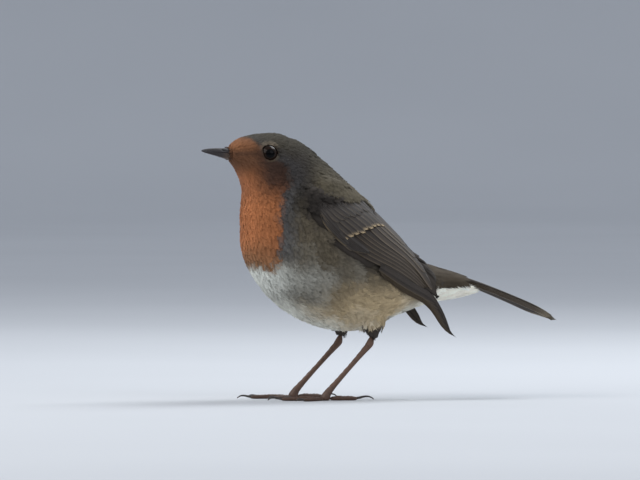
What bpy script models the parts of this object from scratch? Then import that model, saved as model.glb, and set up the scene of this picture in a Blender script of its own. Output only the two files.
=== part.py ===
"""A European robin standing with drooped wings and a raised tail, life size.

The bird faces -Y, its left side is +X and its soles rest on z = 0.  Every size
in the tables below is in millimetres; MM turns it into metres.  The head is
modelled straight ahead and then turned to the bird's left about the neck.
"""

import math

import bmesh
import bpy
from mathutils import Vector

MM = 0.001
GAP = 0.3  # between pieces that touch
CUT_GAP = 1.3 * GAP  # what a cutter adds round the piece it makes room for
BED_GAP = 1.6 * GAP  # the same round the folded wing
BOX_CENTRE = Vector((0.0, -1.5, 0.0))  # in the tables, of what becomes the origin

# ---------------------------------------------------------------- the flesh
# One loft runs from the bill's base to the rump.  Each section is an ellipse
# from a point on the back line to one on the belly line: (y, z) of the back,
# (y, z) of the belly, half width, and how far the width sits towards the belly.
SECTIONS = (
    (-56.7, 86.5, -56.3, 82.6, 2.4, 0.00),  # bill's base
    (-55.1, 88.4, -54.7, 80.9, 4.1, 0.00),  # lores
    (-51.6, 90.4, -52.2, 78.2, 6.6, 0.00),
    (-45.6, 91.7, -50.4, 74.4, 8.5, 0.04),  # eyes
    (-37.4, 91.8, -49.4, 70.2, 10.2, 0.10),  # crown and ear coverts
    (-31.0, 90.1, -49.2, 65.8, 12.0, 0.10),
    (-25.4, 87.0, -49.5, 61.0, 14.6, 0.06),  # nape and throat
    (-19.8, 82.2, -49.4, 55.6, 17.5, 0.02),
    (-13.8, 76.8, -48.0, 49.2, 20.0, 0.00),  # mantle and breast
    (-7.4, 71.1, -44.2, 41.4, 21.9, 0.00),
    (-1.2, 64.8, -36.4, 32.7, 22.9, 0.00),
    (4.8, 57.8, -25.0, 26.0, 22.4, 0.00),  # belly
    (10.6, 51.4, -11.0, 23.3, 20.0, 0.05),
    (15.6, 47.2, 0.5, 26.0, 15.4, 0.05),  # vent
    (20.5, 45.2, 11.0, 31.0, 10.4, 0.00),
    (25.0, 43.6, 19.0, 33.8, 7.4, 0.00),  # upper tail coverts
)
RING = 28  # points round a section
HEAD_END, NECK_END, TRUNK_END, RUMP_END = 4.6, 6.6, 13.2, 14.6  # in sections
SECTION_STEP = 0.5

NECK_Y = -26.0  # the upright axis that the head turns about
HEAD_TURN = math.radians(12.0)
TURN_START, TURN_LENGTH = 9.0, 5.0  # sections over which the turn builds up

# ------------------------------------------------------------ eyes and bill
EYE_CENTRE = (5.7, -44.3, 84.5)
EYE_RADIUS = 3.55
BILL_BASE_Y, BILL_TIP_Y = -56.9, -67.2
BILL_HALF_WIDTH, BILL_TIP_HALF_WIDTH = 2.1, 0.28
CULMEN_Z, GAPE_Z, CHIN_Z = 86.7, 84.9, 82.6  # at the bill's base
CULMEN_TIP_Z, GAPE_TIP_Z, CHIN_TIP_Z = 86.1, 85.8, 85.4

# ------------------------------------------------------------------- wings
# The left wing's chart: stations from the shoulder to the flight feathers'
# tips, each with its lower edge, its upper edge (x, y, z) and the bulge of the
# surface over the chord between them.  Heights are measured out from it.
WING = (
    ((18.3, -34.2, 68.3), (15.5, -31.5, 74.8), 0.4),
    ((21.0, -29.0, 60.3), (13.5, -22.0, 76.3), 1.3),
    ((22.9, -22.0, 53.3), (10.5, -13.5, 72.5), 2.7),
    ((23.2, -14.0, 47.8), (7.5, -6.0, 66.9), 3.6),
    ((22.8, -6.0, 43.1), (4.9, 1.0, 60.3), 3.8),
    ((20.9, 2.0, 38.2), (4.0, 8.5, 53.4), 3.0),
    ((17.4, 9.6, 34.8), (4.8, 14.3, 47.4), 2.2),
    ((14.6, 15.0, 33.4), (8.4, 17.6, 42.8), 0.9),
    ((13.4, 18.0, 32.6), (11.8, 19.4, 37.2), 0.2),
)
WING_INSIDE = -1.2  # height of the wing's hidden face
# The folded primaries, past the other feathers: lower and upper edge.  The
# right wing's are held a little higher.
PRIMARY_TIPS = {
    "l": (
        ((14.0, 14.6, 32.0), (13.0, 18.3, 33.2)),
        ((13.0, 18.6, 26.2), (12.4, 21.6, 27.2)),
        ((12.3, 22.6, 21.9), (12.1, 24.0, 22.6)),
        ((12.1, 24.2, 20.2), (12.0, 24.6, 20.4)),
    ),
    "r": (
        ((14.2, 13.6, 31.4), (13.2, 17.2, 32.6)),
        ((13.0, 16.4, 27.2), (12.4, 19.3, 28.4)),
        ((12.3, 19.8, 24.5), (12.1, 21.2, 25.4)),
        ((12.1, 21.6, 23.2), (12.0, 22.0, 23.4)),
    ),
}

# -------------------------------------------------------------------- tail
# Stations down the middle of the tail: y, z of the top, half width.
TAIL = (
    (21.5, 45.0, 4.4),
    (30.0, 42.8, 5.4),
    (44.4, 37.2, 6.4),
    (57.0, 32.0, 7.0),
    (63.4, 29.2, 6.8),
)
TAIL_FEATHERS = 12
TAIL_ARCH = 2.6  # how far the outer feathers lie below the middle pair
TAIL_THICK, TAIL_EDGE_THICK = 2.0, 0.9
TAIL_RINGS = (0.0, 0.18, 0.4, 0.62, 0.82, 1.0)
# Under tail coverts: y, z of the bottom, half width.
UNDERTAIL = (
    (21.6, 34.3, 4.3),
    (25.5, 34.4, 4.8),
    (30.5, 34.9, 4.0),
    (35.0, 35.9, 1.8),
)

# -------------------------------------------------------------------- legs
HEEL_Z = 20.6
LEG_X, FOOT_X = 11.3, 12.0
STRIDE = {"l": -5.6, "r": -9.5}  # y of each heel
FOOT_AHEAD = 16.6  # the foot's joint lies this far in front of the heel
# Offsets from the heel in x and y, height and radius, from the belly down.
THIGH = ((0.2, 0.8, 33.0, 4.4), (0.2, 0.2, 27.5, 3.6), (0.1, 0.0, 24.0, 2.6), (0.0, 0.0, 21.5, 1.7))
# Share of the way from the heel to the foot's joint, and radius.
TARSUS = (
    (0.00, 0.80),
    (0.05, 1.40),
    (0.12, 1.25),
    (0.27, 0.95),
    (0.60, 0.88),
    (0.86, 1.05),
    (0.95, 1.30),
)
JOINT_Z = 2.6
SOLE_RADIUS, SOLE_AHEAD = 1.9, 0.7
TOE_SIDES, CLAW_SIDES = 8, 6
CLAW_BEND = math.radians(70)
# Digit: bearing from straight ahead towards the bird's outer side in degrees,
# toe length, toe radius, claw length.
TOES = {
    1: (172.0, 8.0, 0.95, 6.0),
    2: (-38.0, 8.5, 0.80, 4.2),
    3: (-2.0, 12.5, 0.88, 5.0),
    4: (34.0, 9.5, 0.78, 4.0),
}

# Colour, roughness and metallic value of each material.
MATERIALS = {
    "orange": ((0.42, 0.15, 0.035), 0.85, 0.0),
    "olive_brown": ((0.09, 0.075, 0.05), 0.85, 0.0),
    "pale_belly": ((0.40, 0.38, 0.32), 0.9, 0.0),
    "wing_brown": ((0.08, 0.062, 0.045), 0.7, 0.0),
    "flight_brown": ((0.07, 0.052, 0.04), 0.6, 0.0),
    "bill_horn": ((0.018, 0.015, 0.016), 0.35, 0.0),
    "eye_black": ((0.008, 0.005, 0.004), 0.05, 0.0),
    "leg_brown": ((0.10, 0.055, 0.035), 0.55, 0.0),
    "claw_horn": ((0.03, 0.022, 0.018), 0.4, 0.0),
}


# ------------------------------------------------------------ shared tools
def clear_scene():
    for thing in list(bpy.data.objects):
        bpy.data.objects.remove(thing, do_unlink=True)


def material(name):
    found = bpy.data.materials.get(name)
    if found:
        return found
    colour, roughness, metallic = MATERIALS[name]
    made = bpy.data.materials.new(name)
    made.use_nodes = True
    shader = made.node_tree.nodes["Principled BSDF"]
    shader.inputs["Base Color"].default_value = (*colour, 1.0)
    shader.inputs["Roughness"].default_value = roughness
    shader.inputs["Metallic"].default_value = metallic
    made.diffuse_color = (*colour, 1.0)
    return made


def lerp(a, b, f):
    return a + (b - a) * f


def smooth(f):
    f = min(max(f, 0.0), 1.0)
    return f * f * (3 - 2 * f)


def along(rows, t):
    """The rows of numbers or vectors, read at t by a Catmull-Rom spline; t = 0 is the first row."""
    last = len(rows) - 1
    i = min(max(int(math.floor(t)), 0), last - 1)
    f = t - i
    b, c = rows[i], rows[i + 1]
    a = rows[i - 1] if i > 0 else [2 * p - q for p, q in zip(b, c)]
    d = rows[i + 2] if i + 2 <= last else [2 * q - p for p, q in zip(b, c)]
    read = []
    for p, q, r, s in zip(a, b, c, d):
        bend = (2 * p - 5 * q + 4 * r - s) * f**2 + (3 * q - p - 3 * r + s) * f**3
        read.append(q + 0.5 * ((r - p) * f + bend))
    return read


def steps(start, end, step):
    count = max(1, round((end - start) / step))
    return [lerp(start, end, i / count) for i in range(count + 1)]


def solid(name, rings, finish, folded=False, smooth_angle=40.0):
    """A closed body through rings of millimetre points, with both ends filled.

    The two halves of a folded ring are the faces of a thin piece; its ends are filled across from one
    to the other."""
    bm = bmesh.new()
    rows = [[bm.verts.new((Vector(p) - BOX_CENTRE) * MM) for p in ring] for ring in rings]
    count = len(rows[0])
    for near, far in zip(rows, rows[1:]):
        for j in range(count):
            k = (j + 1) % count
            bm.faces.new((near[j], near[k], far[k], far[j]))
    for row in (rows[0], rows[-1]):
        if folded:
            for j in range(count // 2 - 1):
                bm.faces.new((row[j], row[j + 1], row[count - 2 - j], row[count - 1 - j]))
            continue
        middle = bm.verts.new(sum((v.co for v in row), Vector()) / count)
        for j in range(count):
            bm.faces.new((row[j], row[(j + 1) % count], middle))
    bmesh.ops.recalc_face_normals(bm, faces=bm.faces)
    mesh = bpy.data.meshes.new(name)
    bm.to_mesh(mesh)
    bm.free()
    mesh.shade_smooth()
    mesh.set_sharp_from_angle(angle=math.radians(smooth_angle))
    made = bpy.data.objects.new(name, mesh)
    bpy.context.scene.collection.objects.link(made)
    made.data.materials.append(material(finish))
    return made


def cutter(name, rings, folded=False):
    made = solid(name, rings, "pale_belly", folded)
    made.hide_render = True
    made.display_type = "WIRE"
    return made


def cut(body, tool):
    hole = body.modifiers.new("cut_" + tool.name, "BOOLEAN")
    hole.operation = "DIFFERENCE"
    hole.solver = "EXACT"
    hole.object = tool


def tube(points, radii, sides):
    """Rings of the given radii round a path of points."""
    path = [Vector(p) for p in points]
    whole = (path[-1] - path[0]).normalized()
    reference = Vector((0, 0, 1)) if abs(whole.z) < 0.8 else Vector((0, 1, 0))
    turns = [2 * math.pi * k / sides for k in range(sides)]
    rings = []
    for i, (point, radius) in enumerate(zip(path, radii)):
        heading = (path[min(i + 1, len(path) - 1)] - path[max(i - 1, 0)]).normalized()
        side = heading.cross(reference).normalized()
        up = side.cross(heading).normalized()
        rings.append([point + radius * (side * math.cos(a) + up * math.sin(a)) for a in turns])
    return rings


def mirrored(rings, side):
    """The rings of a left piece, or their mirror image for the right one."""
    sign = 1 if side == "l" else -1
    return [[Vector((p[0] * sign, p[1], p[2])) for p in ring] for ring in rings]


# --------------------------------------------------------------- the flesh
def turned(point, share=1.0):
    """A point turned with this share of the head's turn."""
    angle = HEAD_TURN * share
    x, y = point[0], point[1] - NECK_Y
    return Vector(
        (
            x * math.cos(angle) - y * math.sin(angle),
            x * math.sin(angle) + y * math.cos(angle) + NECK_Y,
            point[2],
        )
    )


def section(t):
    """The loft's ring at t sections from the bill."""
    back_y, back_z, belly_y, belly_z, half, low = along(SECTIONS, t)
    share = smooth((TURN_START - t) / TURN_LENGTH)
    ring = []
    for k in range(RING):
        angle = 2 * math.pi * k / RING
        up, out = math.cos(angle), math.sin(angle)
        point = (
            half * out * (1 - low * up),
            lerp(belly_y, back_y, (1 + up) / 2),
            lerp(belly_z, back_z, (1 + up) / 2),
        )
        ring.append(turned(point, share))
    return ring


def flesh(name, start, end, finish):
    return solid(name, [section(t) for t in steps(start, end, SECTION_STEP)], finish)


def section_gap(t):
    """A safe gap as a part of a section's spacing at t, where the sections lie closest."""
    here, there = section(t), section(t + 0.01)
    return 1.8 * GAP * 0.01 / min((a - b).length for a, b in zip(here, there))


def make_flesh():
    head = flesh("head", 0.0, HEAD_END, "olive_brown")
    neck = flesh("neck", HEAD_END + section_gap(HEAD_END), NECK_END, "orange")
    trunk = flesh("trunk", NECK_END + section_gap(NECK_END), TRUNK_END, "pale_belly")
    rump = flesh("rump", TRUNK_END + section_gap(TRUNK_END), RUMP_END, "olive_brown")
    return head, neck, trunk, rump


# ----------------------------------------------------------- eyes and bill
def ball(radius, centre, segments=14, rows=9):
    turns = [2 * math.pi * k / segments for k in range(segments)]
    rings = []
    for i in range(1, rows):
        polar = math.pi * i / rows
        out, wide = math.cos(polar), math.sin(polar)
        ring = [Vector((out, wide * math.cos(a), wide * math.sin(a))) for a in turns]
        rings.append([Vector(centre) + point * radius for point in ring])
    return rings


def make_eyes(head):
    for side, sign in (("l", 1), ("r", -1)):
        centre = turned((EYE_CENTRE[0] * sign, EYE_CENTRE[1], EYE_CENTRE[2]))
        solid("eye_" + side, ball(EYE_RADIUS, centre), "eye_black", smooth_angle=60.0)
        cut(head, cutter("socket_" + side, ball(EYE_RADIUS + CUT_GAP, centre)))


def bill_section(f, upper):
    """One mandible's ring, f of the way from the bill's base to its tip."""
    y = lerp(BILL_BASE_Y, BILL_TIP_Y, f)
    half = lerp(BILL_HALF_WIDTH, BILL_TIP_HALF_WIDTH, f**0.85)
    gape = lerp(GAPE_Z, GAPE_TIP_Z, f**0.8)
    if upper:
        edge = lerp(CULMEN_Z, CULMEN_TIP_Z, f**4)
        flat = gape + GAP / 2
    else:
        edge = lerp(CHIN_Z, CHIN_TIP_Z, f**0.9)
        flat = gape - GAP / 2
    arc = [math.pi * k / 8 for k in range(9)]
    ring = [(half * math.cos(a), y, flat + (edge - flat) * math.sin(a) ** 0.8) for a in arc]
    ring += [(half * g, y, flat) for g in (-0.5, 0.0, 0.5)]
    return [turned(p) for p in ring]


def make_bill():
    fractions = [0.0, 0.15, 0.3, 0.45, 0.6, 0.74, 0.85, 0.93, 1.0]
    solid("bill_upper", [bill_section(f, True) for f in fractions], "bill_horn")
    # The lower mandible ends just short of the upper one's tip.
    solid("bill_lower", [bill_section(f * 0.95, False) for f in fractions], "bill_horn")


# ------------------------------------------------------------------- wings
def wing_point(a, b, height):
    """A point on the left wing: a stations from the shoulder, b from the lower to the upper edge."""
    rows = [(*low, *high, bulge) for low, high, bulge in WING]
    row = along(rows, a)
    ahead = along(rows, a + 0.05)
    low, high = Vector(row[:3]), Vector(row[3:6])
    chord = high - low
    heading = (Vector(ahead[:3]) + Vector(ahead[3:6]) - low - high) / 2
    out = heading.cross(chord).normalized()
    if out.x < 0:
        out = -out
    return low + chord * b + out * (row[6] * 4 * b * (1 - b) + height)


def shell(grid_point, across, inside, outside):
    """Rings of a thin curved piece; grid_point gives its surface for p and q from 0 to 1 and a height."""
    rings = []
    lengths, widths = across
    for i in range(lengths + 1):
        p = i / lengths
        top = [grid_point(p, j / widths, outside) for j in range(widths + 1)]
        under = [grid_point(p, j / widths, inside) for j in range(widths, -1, -1)]
        rings.append(top + under)
    return rings


def scallops(q, count):
    """Rounded feather tips side by side: 1 in the middle of each, 0 between them."""
    return abs(math.sin(math.pi * count * q))


def bar_line(b):
    """Where the greater coverts end."""
    return 2.55 + 1.85 * b


def tertial_line(a):
    """Lower edge of the tertials."""
    return lerp(0.36, 0.5, smooth((a - 3.0) / 5.0))


def primary_line(a):
    """Upper edge of the primaries where they show below the secondaries."""
    return lerp(0.1, 0.2, smooth((a - 3.0) / 4.0))


def seam(a):
    """Half the gap between two patches of a wing beside each other, in the chart's own units."""
    low, high, _ = WING[min(int(a + 0.5), len(WING) - 1)]
    return 0.75 * GAP / (Vector(high) - Vector(low)).length


SEAM_A = 0.05  # half the gap between a patch's end and the next one's start
SCAPULAR_LINE = 0.7  # lower edge of the scapulars
TERTIALS_START = 3.55  # under the scapulars' tips
PRIMARY_COVERTS = 1.5, 3.6  # the stations where they start and end
PRIMARIES = 3.75, 6.6  # the same, as far as the primaries lie on the chart
WING_END = 7.75
BED_DEPTH = 4.0  # how far out the body is cut back for the wing


def scapulars(p, q, height):
    end = 3.1 + 0.3 * scallops(q, 2)
    return wing_point(lerp(0.62, end, p), lerp(SCAPULAR_LINE + 0.03 + 0.06 * p, 1.0, q), height)


def wing_coverts(p, q, height):
    low = lerp(0.0, primary_line(3.0) + 0.02, smooth(p * 3 - 0.6))
    high = lerp(1.0, SCAPULAR_LINE, smooth(p * 8))
    b = lerp(low, high, q)
    end = bar_line(b) - SEAM_A + 0.12 * (scallops(q, 6) - 1)
    return wing_point(lerp(0.0, end, p), b, height)


def primary_coverts(p, q, height):
    a = lerp(*PRIMARY_COVERTS, p)
    b = lerp(0.0, primary_line(3.0) - 0.015, q)
    return wing_point(a, b * smooth(p * 2 + 0.3), height)


def tertials(p, q, height):
    # The upper part starts beyond the scapulars, the rest beyond the coverts' bar.
    end = WING_END - 0.9 * q * q - 0.25 * (1 - scallops(q, 3))
    b_end = lerp(tertial_line(end) + seam(end), 1.0, q)
    start = bar_line(lerp(0.38, 1.0, q)) + SEAM_A
    if q > 0.5:
        start = max(start, TERTIALS_START)
    a = lerp(start, end, p)
    b = lerp(tertial_line(a) + seam(a), 1.0, q)
    return wing_point(a, lerp(b, b_end, p), height)


def secondaries(p, q, height):
    start = bar_line(lerp(0.12, 0.36, q)) + SEAM_A
    end = WING_END + 0.1 - 0.3 * (1 - q) * (1 - q)
    a = lerp(start, end, p)
    return wing_point(a, lerp(primary_line(a) + seam(a), tertial_line(a) - seam(a), q), height)


def primary_strip(side, grow=0.0):
    """Rings of the folded primaries, from under the coverts to the wing's tip; grow widens them."""
    edges = []
    for a in steps(*PRIMARIES, 0.5):
        top = primary_line(a) - 2.2 * seam(a)
        edges.append((wing_point(a, 0.0, 0.0), wing_point(a, top, 0.0)))
    edges += [(Vector(low), Vector(high)) for low, high in PRIMARY_TIPS[side]]
    rows = [(*low, *high) for low, high in edges]
    rings = []
    for i, t in enumerate(steps(0, len(rows) - 1, 0.6)):
        row = along(rows, t)
        ahead = along(rows, min(t + 0.1, len(rows) - 1.0))
        behind = along(rows, max(t - 0.1, 0.0))
        low, high = Vector(row[:3]), Vector(row[3:])
        heading = Vector(ahead[:3]) - Vector(behind[:3])
        out = heading.cross(high - low).normalized()
        if out.x < 0:
            out = -out
        spread = (high - low).normalized() * grow
        fade = smooth((t - 5.0) / 4.0)
        outside = lerp(0.1, 0.35, fade) + grow
        inside = lerp(WING_INSIDE, -0.35, fade) - grow
        low, high = low - spread, high + spread
        middle = (low + high) / 2
        rings.append(
            [low + out * outside * 0.6, middle + out * outside, high + out * outside * 0.8]
            + [high + out * inside * 0.8, middle + out * inside, low + out * inside * 0.6]
        )
    return rings


def make_wing(side, bodies):
    patches = {
        "scapulars": (scapulars, (8, 4), 0.75, "olive_brown"),
        "wing_coverts": (wing_coverts, (8, 12), 0.7, "wing_brown"),
        "primary_coverts": (primary_coverts, (6, 2), 0.35, "wing_brown"),
        "tertials": (tertials, (9, 6), 0.6, "flight_brown"),
        "secondaries": (secondaries, (10, 4), 0.25, "flight_brown"),
    }
    for name, (surface, across, outside, finish) in patches.items():
        rings = shell(surface, across, WING_INSIDE, outside)
        solid(f"{name}_{side}", mirrored(rings, side), finish, folded=True)
    solid("primaries_" + side, mirrored(primary_strip(side), side), "flight_brown", folded=True)

    def bed(p, q, height):
        """The whole wing with GAP round it, which the body is cut back from."""
        return wing_point(lerp(-0.1, WING_END + 0.2, p), lerp(-0.045, 1.045, q), height)

    whole_wing = shell(bed, (18, 7), WING_INSIDE - BED_GAP, BED_DEPTH)
    tips = primary_strip(side, BED_GAP)
    beds = [
        cutter("bed_" + side, mirrored(whole_wing, side), folded=True),
        cutter("primary_bed_" + side, mirrored(tips, side), folded=True),
    ]
    for body in bodies:
        for tool in beds:
            cut(body, tool)


# -------------------------------------------------------------------- tail
def tail_point(p, v, depth, grow=0.0):
    """p runs down the tail, v from -1 to 1 across it; depth is 0 on top and 1 below."""
    tip = 0.965 + 0.035 * scallops((v + 1) / 2, TAIL_FEATHERS) - 0.025 * (1 - abs(v)) ** 2
    y, z, half = along(TAIL, p * (len(TAIL) - 1) * tip)
    thick = lerp(TAIL_THICK, TAIL_EDGE_THICK, v * v) * lerp(1.0, 0.55, p)
    arch = TAIL_ARCH * lerp(1.1, 0.85, p)
    return Vector(((half + grow) * v, y, z - arch * v * v - thick * depth + grow * (1 - 2 * depth)))


def tail_rings(grow=0.0):
    across = 2 * TAIL_FEATHERS
    rings = []
    for p in TAIL_RINGS:
        top = [tail_point(p, 2 * j / across - 1, 0, grow) for j in range(across + 1)]
        below = [tail_point(p, 2 * j / across - 1, 1, grow) for j in range(across, -1, -1)]
        rings.append(top + below)
    if grow:
        rings[0] = [p - Vector((0, 1.5 * grow, 0)) for p in rings[0]]
    return rings


def undertail_rings(grow=0.0):
    """A pointed pad that follows the hollow of the tail's underside."""
    rings = []
    for t in steps(0, len(UNDERTAIL) - 1, 0.5):
        y, bottom, half = along(UNDERTAIL, t)
        place = (y - TAIL[0][0]) / (TAIL[1][0] - TAIL[0][0])
        _, tail_z, tail_half = along(TAIL, max(place, 0.0))
        across = [v / 4 for v in range(-4, 5)]
        top, below = [], []
        for v in across:
            u = min(abs(v) * half / tail_half, 1.0)
            thick = lerp(TAIL_THICK, TAIL_EDGE_THICK, u * u)
            ceiling = tail_z - TAIL_ARCH * 1.1 * u * u - thick - 1.5 * GAP
            floor_z = lerp(bottom, ceiling - 0.5, abs(v) ** 2.2)
            top.append(Vector((v * (half + grow), y, ceiling + grow)))
            below.append(Vector((v * (half + grow), y, min(floor_z, ceiling - 0.5) - grow)))
        rings.append(top + below[::-1])
    if grow:
        rings[0] = [p - Vector((0, 1.5 * grow, 0)) for p in rings[0]]
    return rings


def make_tail(rump):
    solid("tail", tail_rings(), "flight_brown", folded=True)
    solid("undertail_coverts", undertail_rings(), "pale_belly", folded=True)
    cut(rump, cutter("tail_bed", tail_rings(CUT_GAP), folded=True))
    cut(rump, cutter("undertail_bed", undertail_rings(CUT_GAP), folded=True))


# -------------------------------------------------------------------- legs
def make_thigh(side, trunk):
    heel_y = STRIDE[side]

    def rings(grow):
        points = [(LEG_X + x, heel_y + y, z + grow * (z == THIGH[0][2])) for x, y, z, _ in THIGH]
        return mirrored(tube(points, [r + grow for *_, r in THIGH], 14), side)

    solid("thigh_" + side, rings(0.0), "olive_brown")
    cut(trunk, cutter("hip_" + side, rings(CUT_GAP)))


def make_tarsus(side):
    heel = Vector((LEG_X, STRIDE[side], HEEL_Z - GAP))
    joint = Vector((FOOT_X, STRIDE[side] - FOOT_AHEAD, JOINT_Z))
    points = [heel.lerp(joint, f) for f, _ in TARSUS]
    rings = tube(points, [r for _, r in TARSUS], TOE_SIDES)
    # The ball of the foot: a last bulge that is flat where it rests.
    turns = [2 * math.pi * k / TOE_SIDES for k in range(TOE_SIDES)]
    for z, radius in ((1.7, SOLE_RADIUS), (0.5, SOLE_RADIUS), (0.0, SOLE_RADIUS * 0.75)):
        middle = joint - Vector((0, SOLE_AHEAD, joint.z - z))
        rings.append([middle - Vector((radius * math.cos(a), radius * math.sin(a), 0)) for a in turns])
    solid("tarsus_" + side, mirrored(rings, side), "leg_brown")
    return joint


def make_toe(side, digit, joint):
    """One toe with a row of pads that are flat on the floor, and its claw."""
    bearing, length, radius, claw = TOES[digit]
    heading = Vector((math.sin(math.radians(bearing)), -math.cos(math.radians(bearing)), 0))
    if digit == 1:  # the hind toe
        start, joints = SOLE_RADIUS - SOLE_AHEAD + 1.5 * GAP, 2
    else:
        start, joints = SOLE_RADIUS + SOLE_AHEAD + 1.7 * GAP, 3
    floor_joint = Vector((joint.x, joint.y, 0))
    points, radii = [], []
    for f in steps(0.0, 1.0, 1 / 6):
        pad = 1.0 - 0.1 * math.cos(2 * math.pi * joints * f)
        swell = radius * pad * lerp(lerp(0.8, 1.1, smooth(f * 3)), 0.84, f)
        points.append(floor_joint + heading * (start + length * f) + Vector((0, 0, 0.85 * swell)))
        radii.append(swell)
    rings = tube(points, radii, TOE_SIDES)
    rings = [[Vector((p.x, p.y, max(p.z, 0.0))) for p in ring] for ring in rings]
    solid(f"toe_{digit}_{side}", mirrored(rings, side), "leg_brown")

    root = points[-1] + heading * (2.2 * GAP)
    points, radii = [], []
    for f in steps(0.0, 1.0, 1 / 4):
        # The claw rises a little from the toe and then curves down to the floor.
        reach = claw * math.sin(f * CLAW_BEND) / math.sin(CLAW_BEND)
        lift = 0.16 * claw * math.sin(math.pi * f) - (root.z - 0.3) * f * f
        points.append(root + heading * reach + Vector((0, 0, lift)))
        radii.append(lerp(radius * 0.6, 0.2, f**0.9))
    rings = tube(points, radii, CLAW_SIDES)
    rings = [[Vector((p.x, p.y, max(p.z, 0.05))) for p in ring] for ring in rings]
    solid(f"claw_{digit}_{side}", mirrored(rings, side), "claw_horn")


def make_legs(trunk):
    for side in ("l", "r"):
        make_thigh(side, trunk)
        joint = make_tarsus(side)
        for digit in TOES:
            make_toe(side, digit, joint)


def main():
    clear_scene()
    head, neck, trunk, rump = make_flesh()
    make_eyes(head)
    make_bill()
    for side in ("l", "r"):
        make_wing(side, (neck, trunk, rump))
    make_tail(rump)
    make_legs(trunk)


main()
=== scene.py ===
"""The looks of a life-size European robin: skin, plumage, eyes, bill and legs round the CAD frame.

The bird faces -Y, its left side is +X and it stands on z = 0.  Shapes are worked out in millimetres in
the frame's own axes and become metres when a mesh is made.
"""

import math

import bmesh
import bpy
import numpy as np
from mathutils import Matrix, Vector
from mathutils.bvhtree import BVHTree


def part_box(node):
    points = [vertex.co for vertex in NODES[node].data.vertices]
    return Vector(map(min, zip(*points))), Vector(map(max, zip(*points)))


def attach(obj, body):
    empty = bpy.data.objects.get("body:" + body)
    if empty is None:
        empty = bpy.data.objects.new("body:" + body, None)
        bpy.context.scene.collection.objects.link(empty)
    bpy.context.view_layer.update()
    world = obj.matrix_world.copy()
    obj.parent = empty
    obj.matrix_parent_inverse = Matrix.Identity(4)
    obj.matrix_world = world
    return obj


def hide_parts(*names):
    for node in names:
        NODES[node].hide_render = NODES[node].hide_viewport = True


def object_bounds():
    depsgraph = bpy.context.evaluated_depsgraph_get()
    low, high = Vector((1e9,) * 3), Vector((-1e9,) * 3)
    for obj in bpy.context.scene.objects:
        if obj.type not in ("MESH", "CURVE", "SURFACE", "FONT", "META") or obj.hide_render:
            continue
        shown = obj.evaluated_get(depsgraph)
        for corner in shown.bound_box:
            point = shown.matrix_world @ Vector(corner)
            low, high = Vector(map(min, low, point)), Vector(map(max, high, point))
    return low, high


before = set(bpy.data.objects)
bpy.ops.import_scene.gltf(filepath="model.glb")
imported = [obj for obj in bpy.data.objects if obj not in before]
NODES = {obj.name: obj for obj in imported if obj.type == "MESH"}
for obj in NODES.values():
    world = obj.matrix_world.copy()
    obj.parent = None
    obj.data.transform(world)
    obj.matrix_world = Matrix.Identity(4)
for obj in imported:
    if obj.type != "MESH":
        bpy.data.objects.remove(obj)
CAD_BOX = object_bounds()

MM = 0.001
SIDES = {"l": 1.0, "r": -1.0}
rng = np.random.default_rng(11)

HEAD_TURN = math.radians(12.0)  # to the bird's left, about an upright axis in the neck
NECK_AXIS_Y = -24.5

WELD = 2e-6  # metres, within which the corners of one solid are joined
UNDER_QUILLS = ("tertials", "secondaries", "primary_coverts")  # wing patches with no small feathers
FLESH = ("head", "neck", "trunk", "rump", "undertail_coverts", "thigh_l", "thigh_r")
WING_PATCHES = ("scapulars", "wing_coverts", "primary_coverts", "tertials", "secondaries")


# ---------------------------------------------------------------- numbers
def srgb(*rgb):
    """An sRGB colour of 0 to 255 as linear light."""
    c = np.array(rgb, float) / 255
    return np.where(c <= 0.04045, c / 12.92, ((c + 0.055) / 1.055) ** 2.4)


def smooth(low, high, x):
    f = np.clip((np.asarray(x, float) - low) / (high - low), 0, 1)
    return f * f * (3 - 2 * f)


def blend(a, b, f):
    return a + (b - a) * f


def mix(a, b, f):
    """Colours from a to b."""
    return blend(a, b, np.asarray(f, float)[..., None])


def unit(v):
    return v / np.maximum(np.linalg.norm(v, axis=-1, keepdims=True), 1e-9)


def circle(n):
    """The angles of n points set evenly round a circle."""
    return np.linspace(0, 2 * math.pi, n, endpoint=False)


def noise(points, size, seed=0):
    """Smooth noise from -1 to 1 with features of about this size."""
    p = np.asarray(points, float) / size + 31.7 + seed * 7.13
    cell = np.floor(p)
    f = p - cell
    f = f * f * (3 - 2 * f)
    total = np.zeros(len(p))
    for corner in range(8):
        step = np.array([corner & 1, corner >> 1 & 1, corner >> 2 & 1])
        key = (cell + step) @ np.array([127.1, 311.7, 74.7])
        value = np.modf(np.abs(np.sin(key) * 43758.5453))[0]
        weight = np.prod(np.where(step == 1, f, 1 - f), axis=1)
        total += value * weight
    return total * 2 - 1


# ------------------------------------------------- the head's turn, undone
def turn_share(points):
    """How much of the head's turn a point has: 1 on the head, 0 on the trunk."""
    return smooth(0, 29.5, -54.9 - (0.76 * points[:, 1] - 0.65 * points[:, 2]))


def turned(vectors, angles):
    c, s = np.cos(angles), np.sin(angles)
    x, y = vectors[:, 0], vectors[:, 1]
    return np.stack([x * c - y * s, x * s + y * c, vectors[:, 2]], axis=1)


def straightened(points):
    """The points as they would be with the head straight ahead."""
    axis = np.array([0, NECK_AXIS_Y, 0])
    return turned(points - axis, -HEAD_TURN * turn_share(points)) + axis


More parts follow.
